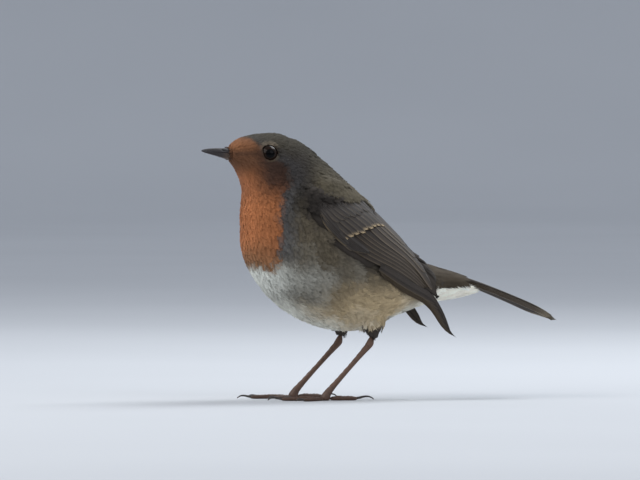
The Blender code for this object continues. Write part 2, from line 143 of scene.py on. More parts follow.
# --------------------------------------------------------------- markings
BREAST, BREAST_LOW, FACE, CHEEK = srgb(188, 119, 76), srgb(142, 108, 78), srgb(108, 74, 53), srgb(66, 50, 43)
SLATE, CROWN, MANTLE, RUMP = srgb(78, 77, 78), srgb(64, 59, 49), srgb(98, 90, 74), srgb(104, 96, 78)
FLANK, BUFF, WHITE = srgb(96, 87, 72), srgb(184, 163, 128), srgb(234, 235, 225)
UNDERTAIL, UPPER_TAIL = srgb(254, 248, 232), srgb(74, 65, 53)
TAIL_TIP, BUFF_TIP = srgb(150, 138, 118), srgb(176, 154, 120)
THIGH, LORE, EYE_RING = srgb(82, 74, 68), srgb(72, 52, 42), srgb(132, 118, 98)
WING_DARK, WING_EDGE, SHAFT = srgb(67, 61, 56), srgb(95, 84, 71), srgb(34, 27, 23)
QUILL_DARK, QUILL_EDGE, BRISTLE = srgb(57, 49, 42), srgb(92, 79, 62), srgb(26, 22, 21)
PUPIL, IRIS, LID_DARK, LID_PALE = srgb(2, 2, 2), srgb(31, 20, 13), srgb(26, 22, 20), srgb(84, 70, 56)
BILL_DARK, BILL_BROWN, CLAW = srgb(46, 41, 42), srgb(92, 74, 62), srgb(62, 52, 47)
LEG, LEG_DARK = srgb(98, 72, 58), srgb(60, 44, 37)
EAR, FOREHEAD = srgb(56, 52, 50), srgb(142, 96, 66)

# The orange bib's rear edge: its y at each height, with the head straight.
BIB_Z = (45, 49, 56, 63, 68, 72, 76, 80.4, 83, 84.5, 87, 89.5, 92)
BIB_Y = (-38.6, -38.1, -38.8, -39.8, -39.4, -38.5, -35.8, -36.8, -39.8, -43.4, -44.3, -46.6, -50)
# The wing's lower edge, which parts the upper side from the flank.
WING_LINE_Y = (-40, -36, -32, -20, -12, -4, 4, 12, 20)
WING_LINE_Z = (82, 73, 67, 53, 48, 43, 38, 35, 37)


def shoulder_shade(points):
    """The front of the scapulars is darker than the mantle: a factor for the colour at each point."""
    x, y, z = np.abs(points[:, 0]), points[:, 1], points[:, 2]
    run = np.clip((y + 31) / 13, 0, 1)
    off = np.hypot(y + 31 - 13 * run, z - 69 + 4 * run) + noise(points, 2.2)
    return (1 - 0.48 * smooth(6.0, 2.5, off) * smooth(8, 12, x))[:, None]


def plumage(points):
    """The plumage's colour at points in the frame, and how orange and how brown it is there."""
    p = straightened(points)
    x, y, z = np.abs(p[:, 0]), p[:, 1], p[:, 2]
    fine, broad = noise(points, 2.2), noise(points, 6.0, 3)
    edge = np.interp(z, BIB_Z, BIB_Y)
    inside = np.minimum(edge - 1.2 - y, (z - 46.4 + 0.10 * x) * 1.1 + 0.9 * broad) + 1.0 * fine
    orange = smooth(-1.6, 1.8, inside)
    upper = smooth(-2.0, 3.0, z - np.interp(y, WING_LINE_Y, WING_LINE_Z) + fine)
    grey = smooth(-8.5, -1.5, inside) * smooth(45, 53, z) * (1 - 0.65 * smooth(86, 91, z))

    bib = mix(BREAST_LOW, BREAST, smooth(44, 58, z + 2 * broad))
    bib = mix(mix(bib, FACE, smooth(73, 82, z)), FOREHEAD, smooth(84.5, 88, z))
    bib = mix(bib, CHEEK, 0.92 * smooth(-50.5, -43.5, y + 0.8 * fine) * smooth(66, 76, z) * smooth(89, 85, z))
    # Painted light and shade: the bib is painted lighter towards its front and darker towards its rear edge,
    # as if lit from ahead.
    bib = bib * (0.72 + 0.36 * smooth(0, 13, edge - y))[:, None]
    above = mix(MANTLE, CROWN, smooth(70, 86, z))
    above = mix(above, EAR, 0.75 * smooth(-24, -32, y) * smooth(64, 70, z) * smooth(89, 82, z))
    above = mix(above, RUMP, smooth(2, 10, y))
    above = mix(above, UPPER_TAIL, smooth(9, 17, y))
    below = mix(FLANK, BUFF, np.maximum(smooth(-30, -12, y) * smooth(44, 33, z), smooth(36, 29, z)))
    ahead = (0.25 * smooth(-14, -32, y) + 0.75 * smooth(-31, -45, y)) * smooth(52, 43, z)
    white = np.maximum(ahead, 0.8 * smooth(17, 4, x) * smooth(43, 31, z))
    below = mix(below, WHITE, np.clip(white + 0.15 * broad, 0, 1))
    below = mix(below, UNDERTAIL, smooth(10, 20, y))
    colour = mix(below, above, upper)
    colour = mix(colour, mix(SLATE, EAR, 0.7 * smooth(70, 77, z)), 0.85 * grey)
    colour = colour * shoulder_shade(points)
    colour = mix(colour, bib, orange)
    # A dark line runs from the gape towards the eye, and a paler ring lies round the eye.
    along = np.clip((y + 55.4) / 9.0, 0, 1)
    off = np.hypot(y + 55.4 - 9.0 * along, z - 84.4 - 0.6 * along)
    colour = mix(colour, LORE, 0.4 * smooth(1.5, 0.2, off) * smooth(2.2, 3.6, x))
    ring = np.linalg.norm(np.stack([x, y, z], 1) - EYE, axis=1)
    colour = mix(colour, EYE_RING, 0.45 * smooth(5.0, 4.3, ring) * smooth(-47.5, -43.5, y + 0.3 * (z - 85)))
    colour = colour * (1 + 0.10 * broad + 0.06 * fine)[:, None]
    return np.clip(colour, 0, 1), orange, np.clip(upper + grey, 0, 1) * (1 - orange)


EYE = np.array([5.7, -42.8, 84.5])  # the left eye's middle with the head straight

# A place on the left side with the head straight, and the way the feathers lie there.
LIE = (
    ((0, -55, 88), (0, 0.75, 0.66)),  # forehead
    ((0, -42.5, 93), (0, 1, 0.1)),  # crown
    ((0, -28.5, 90), (0, 0.86, -0.5)),  # nape
    ((0, -3.5, 69), (0, 0.76, -0.65)),  # back
    ((0, 20, 46), (0, 0.92, -0.4)),  # rump
    ((3.5, -54, 84.5), (0.35, 1, 0.1)),  # lore
    ((8.5, -46, 80), (0.15, 0.9, -0.45)),  # cheek
    ((10, -36, 81), (0, 0.85, -0.5)),  # ear coverts
    ((0, -53.5, 80), (0, 0.25, -1)),  # chin
    ((5, -51, 74), (0.15, 0.3, -1)),  # throat
    ((0, -48.5, 62), (0, 0.02, -1)),  # breast
    ((0, -47.5, 50), (0, 0.18, -1)),
    ((0, -42, 40), (0, 0.6, -0.8)),  # belly
    ((0, -28, 30), (0, 0.93, -0.36)),
    ((0, -10, 24), (0, 1, 0)),
    ((0, 5, 27), (0, 0.94, 0.34)),  # vent
    ((0, 26, 35), (0, 1, 0.08)),  # under the tail
    ((14, -36, 72), (0.1, 0.6, -0.8)),  # side of the neck
    ((17.5, -36, 58), (0.1, 0.35, -0.95)),  # side of the breast
    ((21, -22, 44), (0, 0.75, -0.66)),  # flank
    ((19, -4, 33), (-0.05, 0.95, -0.25)),
    ((10, 14, 32), (-0.2, 0.97, 0.05)),
    ((14, -12, 70), (0.1, 0.78, -0.6)),  # shoulder
    ((11, -4, 23), (0, 0.05, -1)),  # thigh
    ((11, -8, 23), (0, -0.05, -1)),
)


def node_box(name):
    low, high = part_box(name)
    return np.array(low) / MM, np.array(high) / MM


def lie(points, kinds):
    """Unit vectors the way the feathers point, before they are bent along the skin."""
    p = straightened(points)
    total = np.zeros_like(p)
    for place, way in LIE:
        for sign in (1, -1):
            flip = np.array([sign, 1, 1])
            gap = np.linalg.norm(p - np.array(place) * flip, axis=1)
            total += (np.array(way) * flip) / (gap[:, None] ** 4 + 5.0)
    total = turned(total, HEAD_TURN * turn_share(points))
    for side, sign in SIDES.items():
        own = np.sign(points[:, 0]) == sign
        low, high = node_box("wing_coverts_" + side)
        total[own & np.isin(kinds, WING_PATCHES)] = (-0.07 * sign, high[1] - low[1], low[2] - high[2])
        low, high = node_box("tarsus_" + side)
        heel = np.array([(low[0] + high[0]) / 2, high[1], high[2] - 3.0])
        total = np.where((own & (kinds == "thigh"))[:, None], heel - points, total)
    return unit(total)


# Sizes in millimetres that vary over the body: for the face, crown, neck, breast, belly, back, tail and
# thigh, and then for the kinds of node that have their own.
SPACING = (0.36, 0.44, 0.6, 0.64, 0.68, 0.68, 0.8, 0.5), {"wing_coverts": 0.85, "thigh": 0.45}
LENGTHS = (1.4, 2.2, 3.8, 5.2, 6.2, 5.4, 8.0, 2.2), {"wing_coverts": 3.3, "scapulars": 5.6, "thigh": 2.2}
WIDTHS = (0.8, 1.25, 2.0, 2.6, 3.0, 2.8, 3.2, 1.2), {"wing_coverts": 2.3, "scapulars": 2.9, "thigh": 1.4}
DEPTHS = (
    (0.45, 0.8, 1.3, 1.9, 2.1, 1.6, 1.2, 0.5),
    {"scapulars": 1.1, "thigh": 0.7, **dict.fromkeys(("wing_coverts", *UNDER_QUILLS), 1.3)},
)


def by_region(points, kinds, sizes):
    """A size that varies over the body, from one of the tables above."""
    (face, crown, neck, breast, belly, back, tail, thigh), own = sizes
    p = straightened(points)
    x, y, z = np.abs(p[:, 0]), p[:, 1], p[:, 2]
    size = blend(breast, back, smooth(0, 6, z - np.interp(y, WING_LINE_Y, WING_LINE_Z)))
    size = blend(size, belly, smooth(48, 38, z))
    size = blend(size, tail, smooth(8, 22, y))
    size = blend(size, neck, smooth(62, 72, z + 0.4 * np.abs(y + 30)) * smooth(-22, -30, y))
    size = blend(size, crown, smooth(76, 86, z) * smooth(-24, -34, y))
    size = blend(size, face, smooth(-43, -51, y) * smooth(70, 78, z))
    size = blend(size, thigh, smooth(27, 24.5, z) * smooth(6.0, 7.5, x))
    for kind, value in own.items():
        size = np.where(kinds == kind, value, size)
    return size


# ----------------------------------------------------------------- meshes
def each_side(*parts):
    return [f"{part}_{side}" for part in parts for side in SIDES]


def welded(*names):
    """Some CAD nodes as one bmesh."""
    bm = bmesh.new()
    for name in names:
        bm.from_mesh(NODES[name].data)
    bmesh.ops.remove_doubles(bm, verts=bm.verts, dist=WELD)
    return bm


def in_mm(vertices):
    return np.array([v.co[:] for v in vertices]) / MM


def new_object(name, data):
    made = bpy.data.objects.new(name, data)
    bpy.context.scene.collection.objects.link(made)
    return made


def modified(bm, **modifiers):
    """A mesh made from a bmesh, which is freed, by modifiers given as KIND={setting: value}."""
    mesh = bpy.data.meshes.new("form")
    bm.to_mesh(mesh)
    bm.free()
    form = new_object("form", mesh)
    for kind, settings in modifiers.items():
        modifier = form.modifiers.new(kind, kind)
        for key, value in settings.items():
            setattr(modifier, key, value)
    shape = bpy.data.meshes.new_from_object(form.evaluated_get(bpy.context.evaluated_depsgraph_get()))
    bpy.data.objects.remove(form)
    bpy.data.meshes.remove(mesh)
    return shape


def paint(mesh, colour):
    """Stores a linear colour at each vertex, where the materials read it."""
    layer = mesh.color_attributes.new("plumage", "FLOAT_COLOR", "POINT")
    rgba = np.concatenate([np.clip(colour, 0, 1), np.ones((len(colour), 1))], axis=1)
    layer.data.foreach_set("color", rgba.astype(np.float32).ravel())


def quads(rows, columns, close=(0, 0)):
    """Faces between a grid's vertices; close has a 1 where it closes round, over rows and over columns."""
    index = np.arange(rows * columns).reshape(rows, columns)
    index = np.pad(index, [(0, extra) for extra in close], "wrap")
    return np.stack([index[:-1, :-1], index[1:, :-1], index[1:, 1:], index[:-1, 1:]], -1).reshape(-1, 4)


def cross_section(verts, faces, level, cut):
    """Where the edges of some triangles cross a value of what level gives for each vertex."""
    edges = np.concatenate([faces[:, [0, 1]], faces[:, [1, 2]], faces[:, [2, 0]]])
    a, b = level[edges[:, 0]], level[edges[:, 1]]
    hits = (a - cut) * (b - cut) <= 0
    t = np.clip((cut - a) / np.where(np.abs(b - a) < 1e-9, 1, b - a), 0, 1)[hits][:, None]
    return verts[edges[hits, 0]] * (1 - t) + verts[edges[hits, 1]] * t


def node_mesh(*names):
    """The vertices, in millimetres, and the triangles of some CAD nodes."""
    bm = welded(*names)
    bmesh.ops.triangulate(bm, faces=bm.faces)
    verts = in_mm(bm.verts)
    faces = np.array([[v.index for v in f.verts] for f in bm.faces])
    bm.free()
    return verts, faces


def make_object(name, material, slot, verts, faces, colour, replaces=(), normals=None, **uvs):
    """A piece from millimetre vertices and faces of one size; colour, normals and uvs have a row a vertex."""
    verts, faces = np.asarray(verts, float), np.asarray(faces, np.int32)
    mesh = bpy.data.meshes.new(name)
    mesh.vertices.add(len(verts))
    mesh.vertices.foreach_set("co", (verts * MM).astype(np.float32).ravel())
    mesh.loops.add(faces.size)
    mesh.loops.foreach_set("vertex_index", faces.ravel())
    mesh.polygons.add(len(faces))
    mesh.polygons.foreach_set("loop_start", np.arange(0, faces.size, faces.shape[1], dtype=np.int32))
    mesh.update(calc_edges=True)
    mesh.validate()
    paint(mesh, colour)
    for label, uv in uvs.items():
        layer = mesh.uv_layers.new(name=label)
        layer.data.foreach_set("uv", uv[faces.ravel()].astype(np.float32).ravel())
    mesh.shade_smooth()
    if normals is not None:
        mesh.normals_split_custom_set_from_vertices(normals.astype(np.float32))
    finished(new_object(name, mesh), material, replaces)


def finished(piece, material, replaces):
    piece.data.materials.clear()
    piece.data.materials.append(material)
    if replaces:
        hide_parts(*replaces)
    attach(piece, "root")


class Pile:
    """Many small shapes gathered into one piece."""

    def __init__(self):
        self.parts, self.count = {}, 0

    def add(self, verts, faces, **layers):
        """layers holds what make_object takes for each vertex: colour, normals and UV maps."""
        for label, values in {"verts": verts, "faces": np.asarray(faces) + self.count, **layers}.items():
            self.parts.setdefault(label, []).append(values)
        self.count += len(verts)

    def tree(self):
        faces = [face for part in self.parts["faces"] for face in part.tolist()]
        return BVHTree.FromPolygons(np.concatenate(self.parts["verts"]).tolist(), faces)

    def build(self, name, material, slot, replaces=()):
        whole = {label: np.concatenate(parts) for label, parts in self.parts.items()}
        make_object(name, material, slot, replaces=replaces, **whole)


# -------------------------------------------------------------- materials
BUMP_DISTANCE = 0.0001


def new_material(name, roughness, **sockets):
    """A material, its nodes and its shader."""
    made = bpy.data.materials.new(name)
    made.use_nodes = True
    shader = made.node_tree.nodes["Principled BSDF"]
    shader.inputs["Roughness"].default_value = roughness
    for label, value in sockets.items():
        shader.inputs[label.replace("_", " ")].default_value = value
    return made, made.node_tree, shader


def node(tree, kind, inputs=None, **settings):
    made = tree.nodes.new(kind)
    for key, value in settings.items():
        setattr(made, key, value)
    for key, value in (inputs or {}).items():
        if isinstance(value, bpy.types.NodeSocket):
            tree.links.new(value, made.inputs[key])
        else:
            made.inputs[key].default_value = value
    return made


def object_noise(tree, scale, detail=3.0, stretch=1.0):
    """Noise fixed to the piece; stretch scales it along z."""
    place = node(tree, "ShaderNodeTexCoord").outputs["Object"]
    mapped = node(tree, "ShaderNodeMapping", {"Vector": place, "Scale": (1, 1, stretch)}).outputs["Vector"]
    made = node(tree, "ShaderNodeTexNoise", {"Vector": mapped, "Scale": scale, "Detail": detail})
    return made.outputs["Fac"]


def varied(tree, colour, factor, low, high=None):
    """A colour made darker and lighter by a factor from 0 to 1, as much each way if high isn't given."""
    ends = {"Value": factor, "To Min": low, "To Max": 2 - low if high is None else high}
    gain = node(tree, "ShaderNodeMapRange", ends).outputs["Result"]
    return node(tree, "ShaderNodeVectorMath", {0: colour, 1: gain}, operation="MULTIPLY").outputs["Vector"]


def bump(tree, shader, height, strength):
    made = node(tree, "ShaderNodeBump", {"Height": height, "Strength": strength, "Distance": BUMP_DISTANCE})
    tree.links.new(made.outputs["Normal"], shader.inputs["Normal"])


def own_colour(tree):
    return node(tree, "ShaderNodeVertexColor", layer_name="plumage").outputs["Color"]


def quill_material():
    """Flight feathers: fine barbs run out from the shaft on both webs."""
    made, tree, shader = new_material("flight_feathers", 0.55, Specular_IOR_Level=0.25)
    vane = node(tree, "ShaderNodeUVMap", uv_map="Vane").outputs["UV"]
    split = node(tree, "ShaderNodeSeparateXYZ", {0: vane})
    across = node(tree, "ShaderNodeMath", {0: split.outputs["X"]}, operation="ABSOLUTE").outputs[0]
    slant = node(tree, "ShaderNodeMath", {0: across, 1: -0.09}, operation="MULTIPLY").outputs[0]
    along = node(tree, "ShaderNodeMath", {0: split.outputs["Y"], 1: slant}, operation="ADD").outputs[0]
    place = node(tree, "ShaderNodeCombineXYZ", {0: along}).outputs[0]
    wave = {"Vector": place, "Scale": 22.0, "Distortion": 1.5, "Detail": 2.0}
    barbs = node(tree, "ShaderNodeTexWave", wave, wave_profile="SIN").outputs["Fac"]
    striped = varied(tree, own_colour(tree), barbs, 0.9, 1.08)
    tree.links.new(varied(tree, striped, object_noise(tree, 300.0), 0.86), shader.inputs["Base Color"])
    bump(tree, shader, barbs, 0.35)
    return made


def tinted_material(name, roughness, grains, pits=None, **sockets):
    """The piece's own colours, made uneven by grains: a scale, detail, stretch and lowest gain for each.

    pits holds the scale and the strength of a bump."""
    made, tree, shader = new_material(name, roughness, **sockets)
    colour = own_colour(tree)
    for scale, detail, stretch, low in grains:
        colour = varied(tree, colour, object_noise(tree, scale, detail, stretch), low)
    tree.links.new(colour, shader.inputs["Base Color"])
    if pits:
        bump(tree, shader, object_noise(tree, pits[0]), pits[1])
    return made


def stage_material():
    made, tree, shader = new_material("pale_floor", 0.85)
    ramp = node(tree, "ShaderNodeValToRGB", {"Fac": object_noise(tree, 3.0, 2.0)})
    ramp.color_ramp.elements[0].color = (0.52, 0.54, 0.57, 1)
    ramp.color_ramp.elements[1].color = (0.58, 0.60, 0.63, 1)
    tree.links.new(ramp.outputs["Color"], shader.inputs["Base Color"])
    return made


# ------------------------------------------------------- camera and light
AZIMUTH, PITCH = math.radians(72.0), math.radians(1.0)  # a little ahead of side on, and almost level
DISTANCE, FRAME_WIDTH, SENSOR = 3.0, 0.2208, 36.0  # metres, metres, millimetres
AIM = -0.0185, 0.596  # metres to the camera's right of the middle, and a share of the height
FLOOR_FLAT, FLOOR_CURVE, FLOOR_SIDES = 4.0, 1.4, 72
# Each lamp's way from the target (towards the camera, right, up), reach in metres, size, watts and colour.
LAMPS = (
    ("key", (0.55, -0.95, 0.9), 0.9, 0.9, 8.4, (1.0, 0.98, 0.94)),
    ("fill", (0.85, 0.85, 0.7), 0.9, 0.8, 2.0, (0.95, 0.97, 1.0)),
    ("rim", (-0.6, 0.55, 1.0), 0.8, 0.5, 6.5, (0.95, 0.98, 1.0)),
)


def photo_view():
    """Sets the camera; gives what it looks at, its right and the way back to it."""
    across = Vector((math.cos(AZIMUTH), math.sin(AZIMUTH), 0))
    ahead = Vector((-math.sin(AZIMUTH), math.cos(AZIMUTH), 0))
    back = Vector((0, 0, math.sin(PITCH))) - ahead * math.cos(PITCH)
    low, high = (Vector(corner) for corner in CAD_BOX)
    middle = (low + high) / 2
    right, up = AIM
    target = Vector((middle.x, middle.y, 0)) + across * right + Vector((0, 0, up * high.z))
    data = bpy.data.cameras.new("camera")
    data.sensor_width, data.lens = SENSOR, SENSOR * DISTANCE / FRAME_WIDTH
    data.clip_start, data.clip_end = 0.1, 30.0
    camera = new_object("camera", data)
    camera.location = target + back * DISTANCE
    camera.rotation_euler = (-back).to_track_quat("-Z", "Y").to_euler()
    bpy.context.scene.camera = camera
    return target, across, back


def make_stage(target, across, back):
    """A floor that curves up into a backdrop all round, and soft lamps."""
    bend = np.linspace(0, math.pi / 2, 13)
    turn = circle(FLOOR_SIDES)
    reach, rise = FLOOR_FLAT + FLOOR_CURVE * np.sin(bend), FLOOR_CURVE * (1 - np.cos(bend))
    ways = np.cos(turn), np.sin(turn), np.ones(FLOOR_SIDES)
    place = [np.outer(size, way) for size, way in zip((reach, reach, rise), ways)]
    faces = quads(len(bend), FLOOR_SIDES, (0, 1)).tolist() + [list(range(FLOOR_SIDES))]
    mesh = bpy.data.meshes.new("floor")
    mesh.from_pydata(np.stack(place, -1).reshape(-1, 3).tolist(), [], faces)
    mesh.shade_smooth()
    mesh.materials.append(stage_material())
    new_object("floor", mesh)

    for name, (behind, beside, above), reach, size, power, colour in LAMPS:
        offset = (back * behind + across * beside + Vector((0, 0, above))) * reach
        data = bpy.data.lights.new(name, "AREA")
        data.size, data.energy, data.color = size, power, colour
        light = new_object(name, data)
        light.location = target + offset
        light.rotation_euler = (-offset).to_track_quat("-Z", "Y").to_euler()
    world = bpy.data.worlds.new("studio")
    world.use_nodes = True
    background = world.node_tree.nodes["Background"].inputs
    background["Color"].default_value, background["Strength"].default_value = (0.86, 0.91, 1.0, 1), 0.64
    bpy.context.scene.world = world
    bpy.context.scene.view_settings.view_transform = "Standard"


# ------------------------------------------------------------------- skin
SKIN_VOXEL = 0.65
CLOSE_GAPS = 1.4


def coat_depth(points, kinds):
    """How far the skin lies inside the outline of the plumage."""
    y = points[:, 1]
    ending = np.where(kinds == "body", smooth(25, 33, y), smooth(11, 19, y))
    return blend(by_region(points, kinds, DEPTHS), 0.35, ending)


def eased_over(faces, values, rounds):
    """Values at vertices, shared with their neighbours a number of times."""
    a, b = faces.ravel(), np.roll(faces, -1, axis=1).ravel()
    count = np.maximum(np.bincount(a, minlength=len(values)), 1)
    for _ in range(rounds):
        near = [np.bincount(a, part[b], minlength=len(values)) / count for part in values.T]
        values = 0.5 * values + 0.5 * np.stack(near, axis=1)
    return values


def vertex_normals(verts, faces):
    a, b, c = (verts[faces[:, k]] for k in range(3))
    across = np.cross(b - a, c - a).T
    total = [sum(np.bincount(faces[:, k], part, len(verts)) for k in range(3)) for part in across]
    return unit(np.stack(total, 1))


def make_skin(material):
    """One closed skin through the gaps between the nodes of flesh, and over the folded wings' roots."""
    bm = welded(*FLESH, *each_side(*WING_PATCHES, "eye"))
    bm.normal_update()
    for v in bm.verts:
        v.co += v.normal * CLOSE_GAPS * MM
    remesh = {"mode": "VOXEL", "voxel_size": SKIN_VOXEL * MM}
    shape = modified(bm, REMESH=remesh, SMOOTH={"factor": 0.5, "iterations": 14})
    shape.calc_loop_triangles()
    verts = in_mm(shape.vertices)
    faces = np.array([t.vertices[:] for t in shape.loop_triangles])
    bpy.data.meshes.remove(shape)

    _, y, z = verts.T
    broad = smooth(30, 38, z) * smooth(22, 14, y) * np.maximum(smooth(76, 70, z), smooth(-37, -32, y))
    verts = mix(verts, eased_over(faces, verts, 40), broad)
    verts = verts - vertex_normals(verts, faces) * CLOSE_GAPS
    verts = mix(verts, eased_over(faces, verts, 30), broad)
    normals = unit(eased_over(faces, vertex_normals(verts, faces), 3))
    outline = np.array([TREE.find_nearest(p)[0][:] for p in verts.tolist()])
    miss = np.clip(np.sum((outline - verts) * normals, 1), -1, 1)[:, None]
    verts = verts + normals * eased_over(faces, miss, 15)
    kinds = nearest_kind(verts)
    depth = eased_over(faces, coat_depth(verts, kinds)[:, None], 12)
    colour, _, _ = plumage(verts)
    wing = eased_over(faces, np.isin(kinds, ("wing_coverts", *UNDER_QUILLS))[:, None].astype(float), 8)
    colour = eased_over(faces, blend(colour, WING_DARK * shoulder_shade(verts), wing), 3) * 0.8
    ways = unit(eased_over(faces, lie(verts, kinds), 8))
    verts = verts - normals * depth
    make_object("skin", material, "brown_feathers", verts, faces, colour, FLESH)
    return Skin(verts, faces, kinds, depth[:, 0], ways, wing)


def nearest_tree():
    """A tree of every fleshy node and wing patch, with the kind of node that each face belongs to."""
    pile, kinds = Pile(), []
    for name in (*FLESH, *each_side(*WING_PATCHES)):
        verts, faces = node_mesh(name)
        pile.add(verts, faces)
        kinds += [name.rsplit("_", 1)[0] if name[-2:] in ("_l", "_r") else "body"] * len(faces)
    return pile.tree(), np.array(kinds)


TREE, KINDS = nearest_tree()


def nearest_kind(points):
    """The kind of node that each point is nearest to: body, thigh, or one of the wing's patches."""
    return np.array([KINDS[TREE.find_nearest(p)[2]] for p in points.tolist()])


# ---------------------------------------------------------------- feathers
def feather_form(barbs, loose, seed):
    """A small feather: (along, across, up) points from 0 to 1 along it and -1 to 1 across, and triangles.

    Its barbs start side by side on the shaft, sweep forward and part towards their tips; loose ones part
    sooner and end less evenly."""
    pick = np.random.default_rng(seed)
    points, faces = [], []
    for k in range(barbs):
        start = 0.03 + 0.79 * k / (barbs - 1)
        half = (0.95 - 0.35 * loose) * 0.79 / (barbs - 1)
        for sign in (-1, 1):
            reach = (0.40 - 0.14 * start) * (1 + 0.35 * loose * pick.uniform(-1, 1))
            tip = min(start + reach, 1.0 + 0.10 * loose * pick.uniform(-1, 1))
            outline = math.sqrt(max(0.0, 1 - ((tip - 0.58) / (0.46 if tip > 0.58 else 0.75)) ** 2))
            out = max(outline, 0.10) * (1 + 0.22 * loose * pick.uniform(-1, 1))
            middle = (start + 0.42 * (tip - start), sign * out * 0.60)
            thin = half * (1 - 0.75 * loose)
            first = len(points)
            points += [
                (start - half, 0.0, 0.03),
                (start + half, 0.0, 0.03),
                (middle[0] + thin, middle[1], -0.02),
                (middle[0] - thin, middle[1], -0.02),
                (tip, sign * out, -0.14 + 0.08 * loose * pick.uniform(-1, 1)),
            ]
            barb = first + np.array([(0, 1, 2), (0, 2, 3), (3, 2, 4)])
            faces.append(barb if sign > 0 else barb[:, ::-1])
    return np.array(points), np.concatenate(faces)


def scatter(verts, faces, spacing):
    """Places spread over the faces that have a spacing, none closer than it, with normals and faces."""
    a, b, c = (verts[faces[:, k]] for k in range(3))
    normal = np.cross(b - a, c - a)
    area = np.linalg.norm(normal, axis=1) / 2
    weight = np.where(spacing > 0, area / np.maximum(spacing, 0.1) ** 2, 0)
    tries = int(weight.sum() * 3.2)
    chosen = rng.choice(len(faces), tries, p=weight / weight.sum())
    r = rng.random((tries, 2))
    flip = r.sum(axis=1) > 1
    r[flip] = 1 - r[flip]
    places = a[chosen] + (b - a)[chosen] * r[:, :1] + (c - a)[chosen] * r[:, 1:]
    gaps, normals = spacing[chosen], unit(normal)[chosen]
    cell = float(spacing.max())
    grid, kept = {}, []
    keys = np.floor(places / cell).astype(int)
    neighbours = [(i, j, k) for i in (-1, 0, 1) for j in (-1, 0, 1) for k in (-1, 0, 1)]
    points = places.tolist()
    for n in range(tries):
        x, y, z = points[n]
        i, j, k = keys[n]
        limit = gaps[n] * gaps[n]
        for di, dj, dk in neighbours:
            for px, py, pz in grid.get((i + di, j + dj, k + dk), ()):
                if (px - x) ** 2 + (py - y) ** 2 + (pz - z) ** 2 < limit:
                    break
            else:
                continue
            break
        else:
            grid.setdefault((i, j, k), []).append((x, y, z))
            kept.append(n)
    return places[kept], normals[kept], chosen[kept]


STEPS = 4  # places along each feather where it follows the skin
SHAFT_PARTS = "places", "ups", "ways"
PATCH = 0.003  # across each feather's place in the bake


class Skin:
    """The skin's surface, for feathers to follow."""

    def __init__(self, verts, faces, kinds, depth, ways, wing):
        self.verts, self.faces, self.kinds = verts, faces, kinds
        self.depth, self.ways, self.wing = depth, ways, wing
        self.tree = BVHTree.FromPolygons(verts.tolist(), faces.tolist())

    def nearest(self, points):
        """The nearest places, their normals, and the way feathers lie and point there."""
        found = [self.tree.find_nearest(p) for p in points.tolist()]
        places, normals = np.array([f[0][:] for f in found]), np.array([f[1][:] for f in found])
        return places, normals, *self.lie_on(np.array([f[2] for f in found]), normals)

    def lie_on(self, face, normals):
        """The way feathers lie along these faces, and the way they point."""
        ways = self.ways[self.faces[face]].mean(axis=1)
        return unit(ways - normals * np.sum(ways * normals, axis=1, keepdims=True)), ways

    def shafts(self, roots, normals, ways, lengths, rise):
        """Places, normals and ways along feathers that lie over the skin; rise is their tips' height."""
        yaw = rng.normal(0, 0.15, (len(roots), 1))
        places, ups, headings = [roots], [normals], []
        swung = ways
        for _ in range(STEPS - 1):
            swung = unit(swung * np.cos(yaw) + np.cross(ups[-1], swung) * np.sin(yaw))
            step = (lengths / (STEPS - 1))[:, None]
            ahead = places[-1] + swung * step
            place, up, way, point = self.nearest(ahead)
            # Past the end of the skin a feather keeps straight on.
            free = np.linalg.norm(place - ahead, axis=1, keepdims=True) > 0.25 + 0.3 * step
            free &= np.sum(up * point, axis=1, keepdims=True) > 0.5
            places.append(np.where(free, places[-1] + point * step, place))
            headings.append(unit(places[-1] - places[-2]))
            ups.append(np.where(free, ups[-1], unit(0.7 * up + 0.3 * ups[-1])))
            swung = np.where(free, point, way)
        headings.append(headings[-1])
        places, ups = np.stack(places, axis=1), np.stack(ups, axis=1)
        climb = np.array([0.0, 0.55, 0.85, 1.0])
        lift = rise[:, None] * climb * (1 + 0.15 * rng.uniform(-1, 1, (len(roots), 1)))
        return places + ups * lift[..., None], ups, np.stack(headings, axis=1)


def grow(pile, form, shafts, widths, colours, shade, bake):
    """Adds one feather of this form along each shaft, its root and tip as light as shade says."""
    places, ups, ways = shafts
    points, faces = form
    along = np.clip(points[:, 0], 0, 1.05) * (STEPS - 1)
    low = np.clip(along.astype(int), 0, STEPS - 2)
    f = (along - low)[None, :, None]
    centre = places[:, low] * (1 - f) + places[:, low + 1] * f
    up = unit(ups[:, low] * (1 - f) + ups[:, low + 1] * f)
    way = unit(ways[:, low] * (1 - f) + ways[:, low + 1] * f)
    side = unit(np.cross(up, way))
    half = (widths / 2)[:, None, None]
    roll = rng.normal(0, 0.10, (len(widths), 1, 1))
    across = points[None, :, 1:2] * half
    verts = centre + side * across + up * (points[None, :, 2:3] * half + across * roll)
    colour = colours[:, None, :] * blend(*shade, smooth(0.0, 0.75, points[:, 0]))[None, :, None]
    lean = np.clip(points[None, :, 1:2], -1, 1) * 0.35
    normals = unit(up * 1.0 + side * lean + way * 0.25 * (along[None, :, None] / (STEPS - 1)))
    uv = bake[:, None, :] + PATCH / 2 * np.stack([points[:, 1], 2 * points[:, 0] - 1], axis=1)[None]
    every = faces[None] + (np.arange(len(widths)) * len(points))[:, None, None]
    layers = {"colour": colour, "normals": normals, "OFBake": uv}
    layers = {label: values.reshape(-1, values.shape[-1]) for label, values in layers.items()}
    pile.add(verts.reshape(-1, 3), every.reshape(-1, 3), **layers)


SPINE = np.array([(-56, 84), (-44, 83), (-35, 73), (-25, 58), (-12, 46), (8, 38), (24, 39), (40, 36)], float)


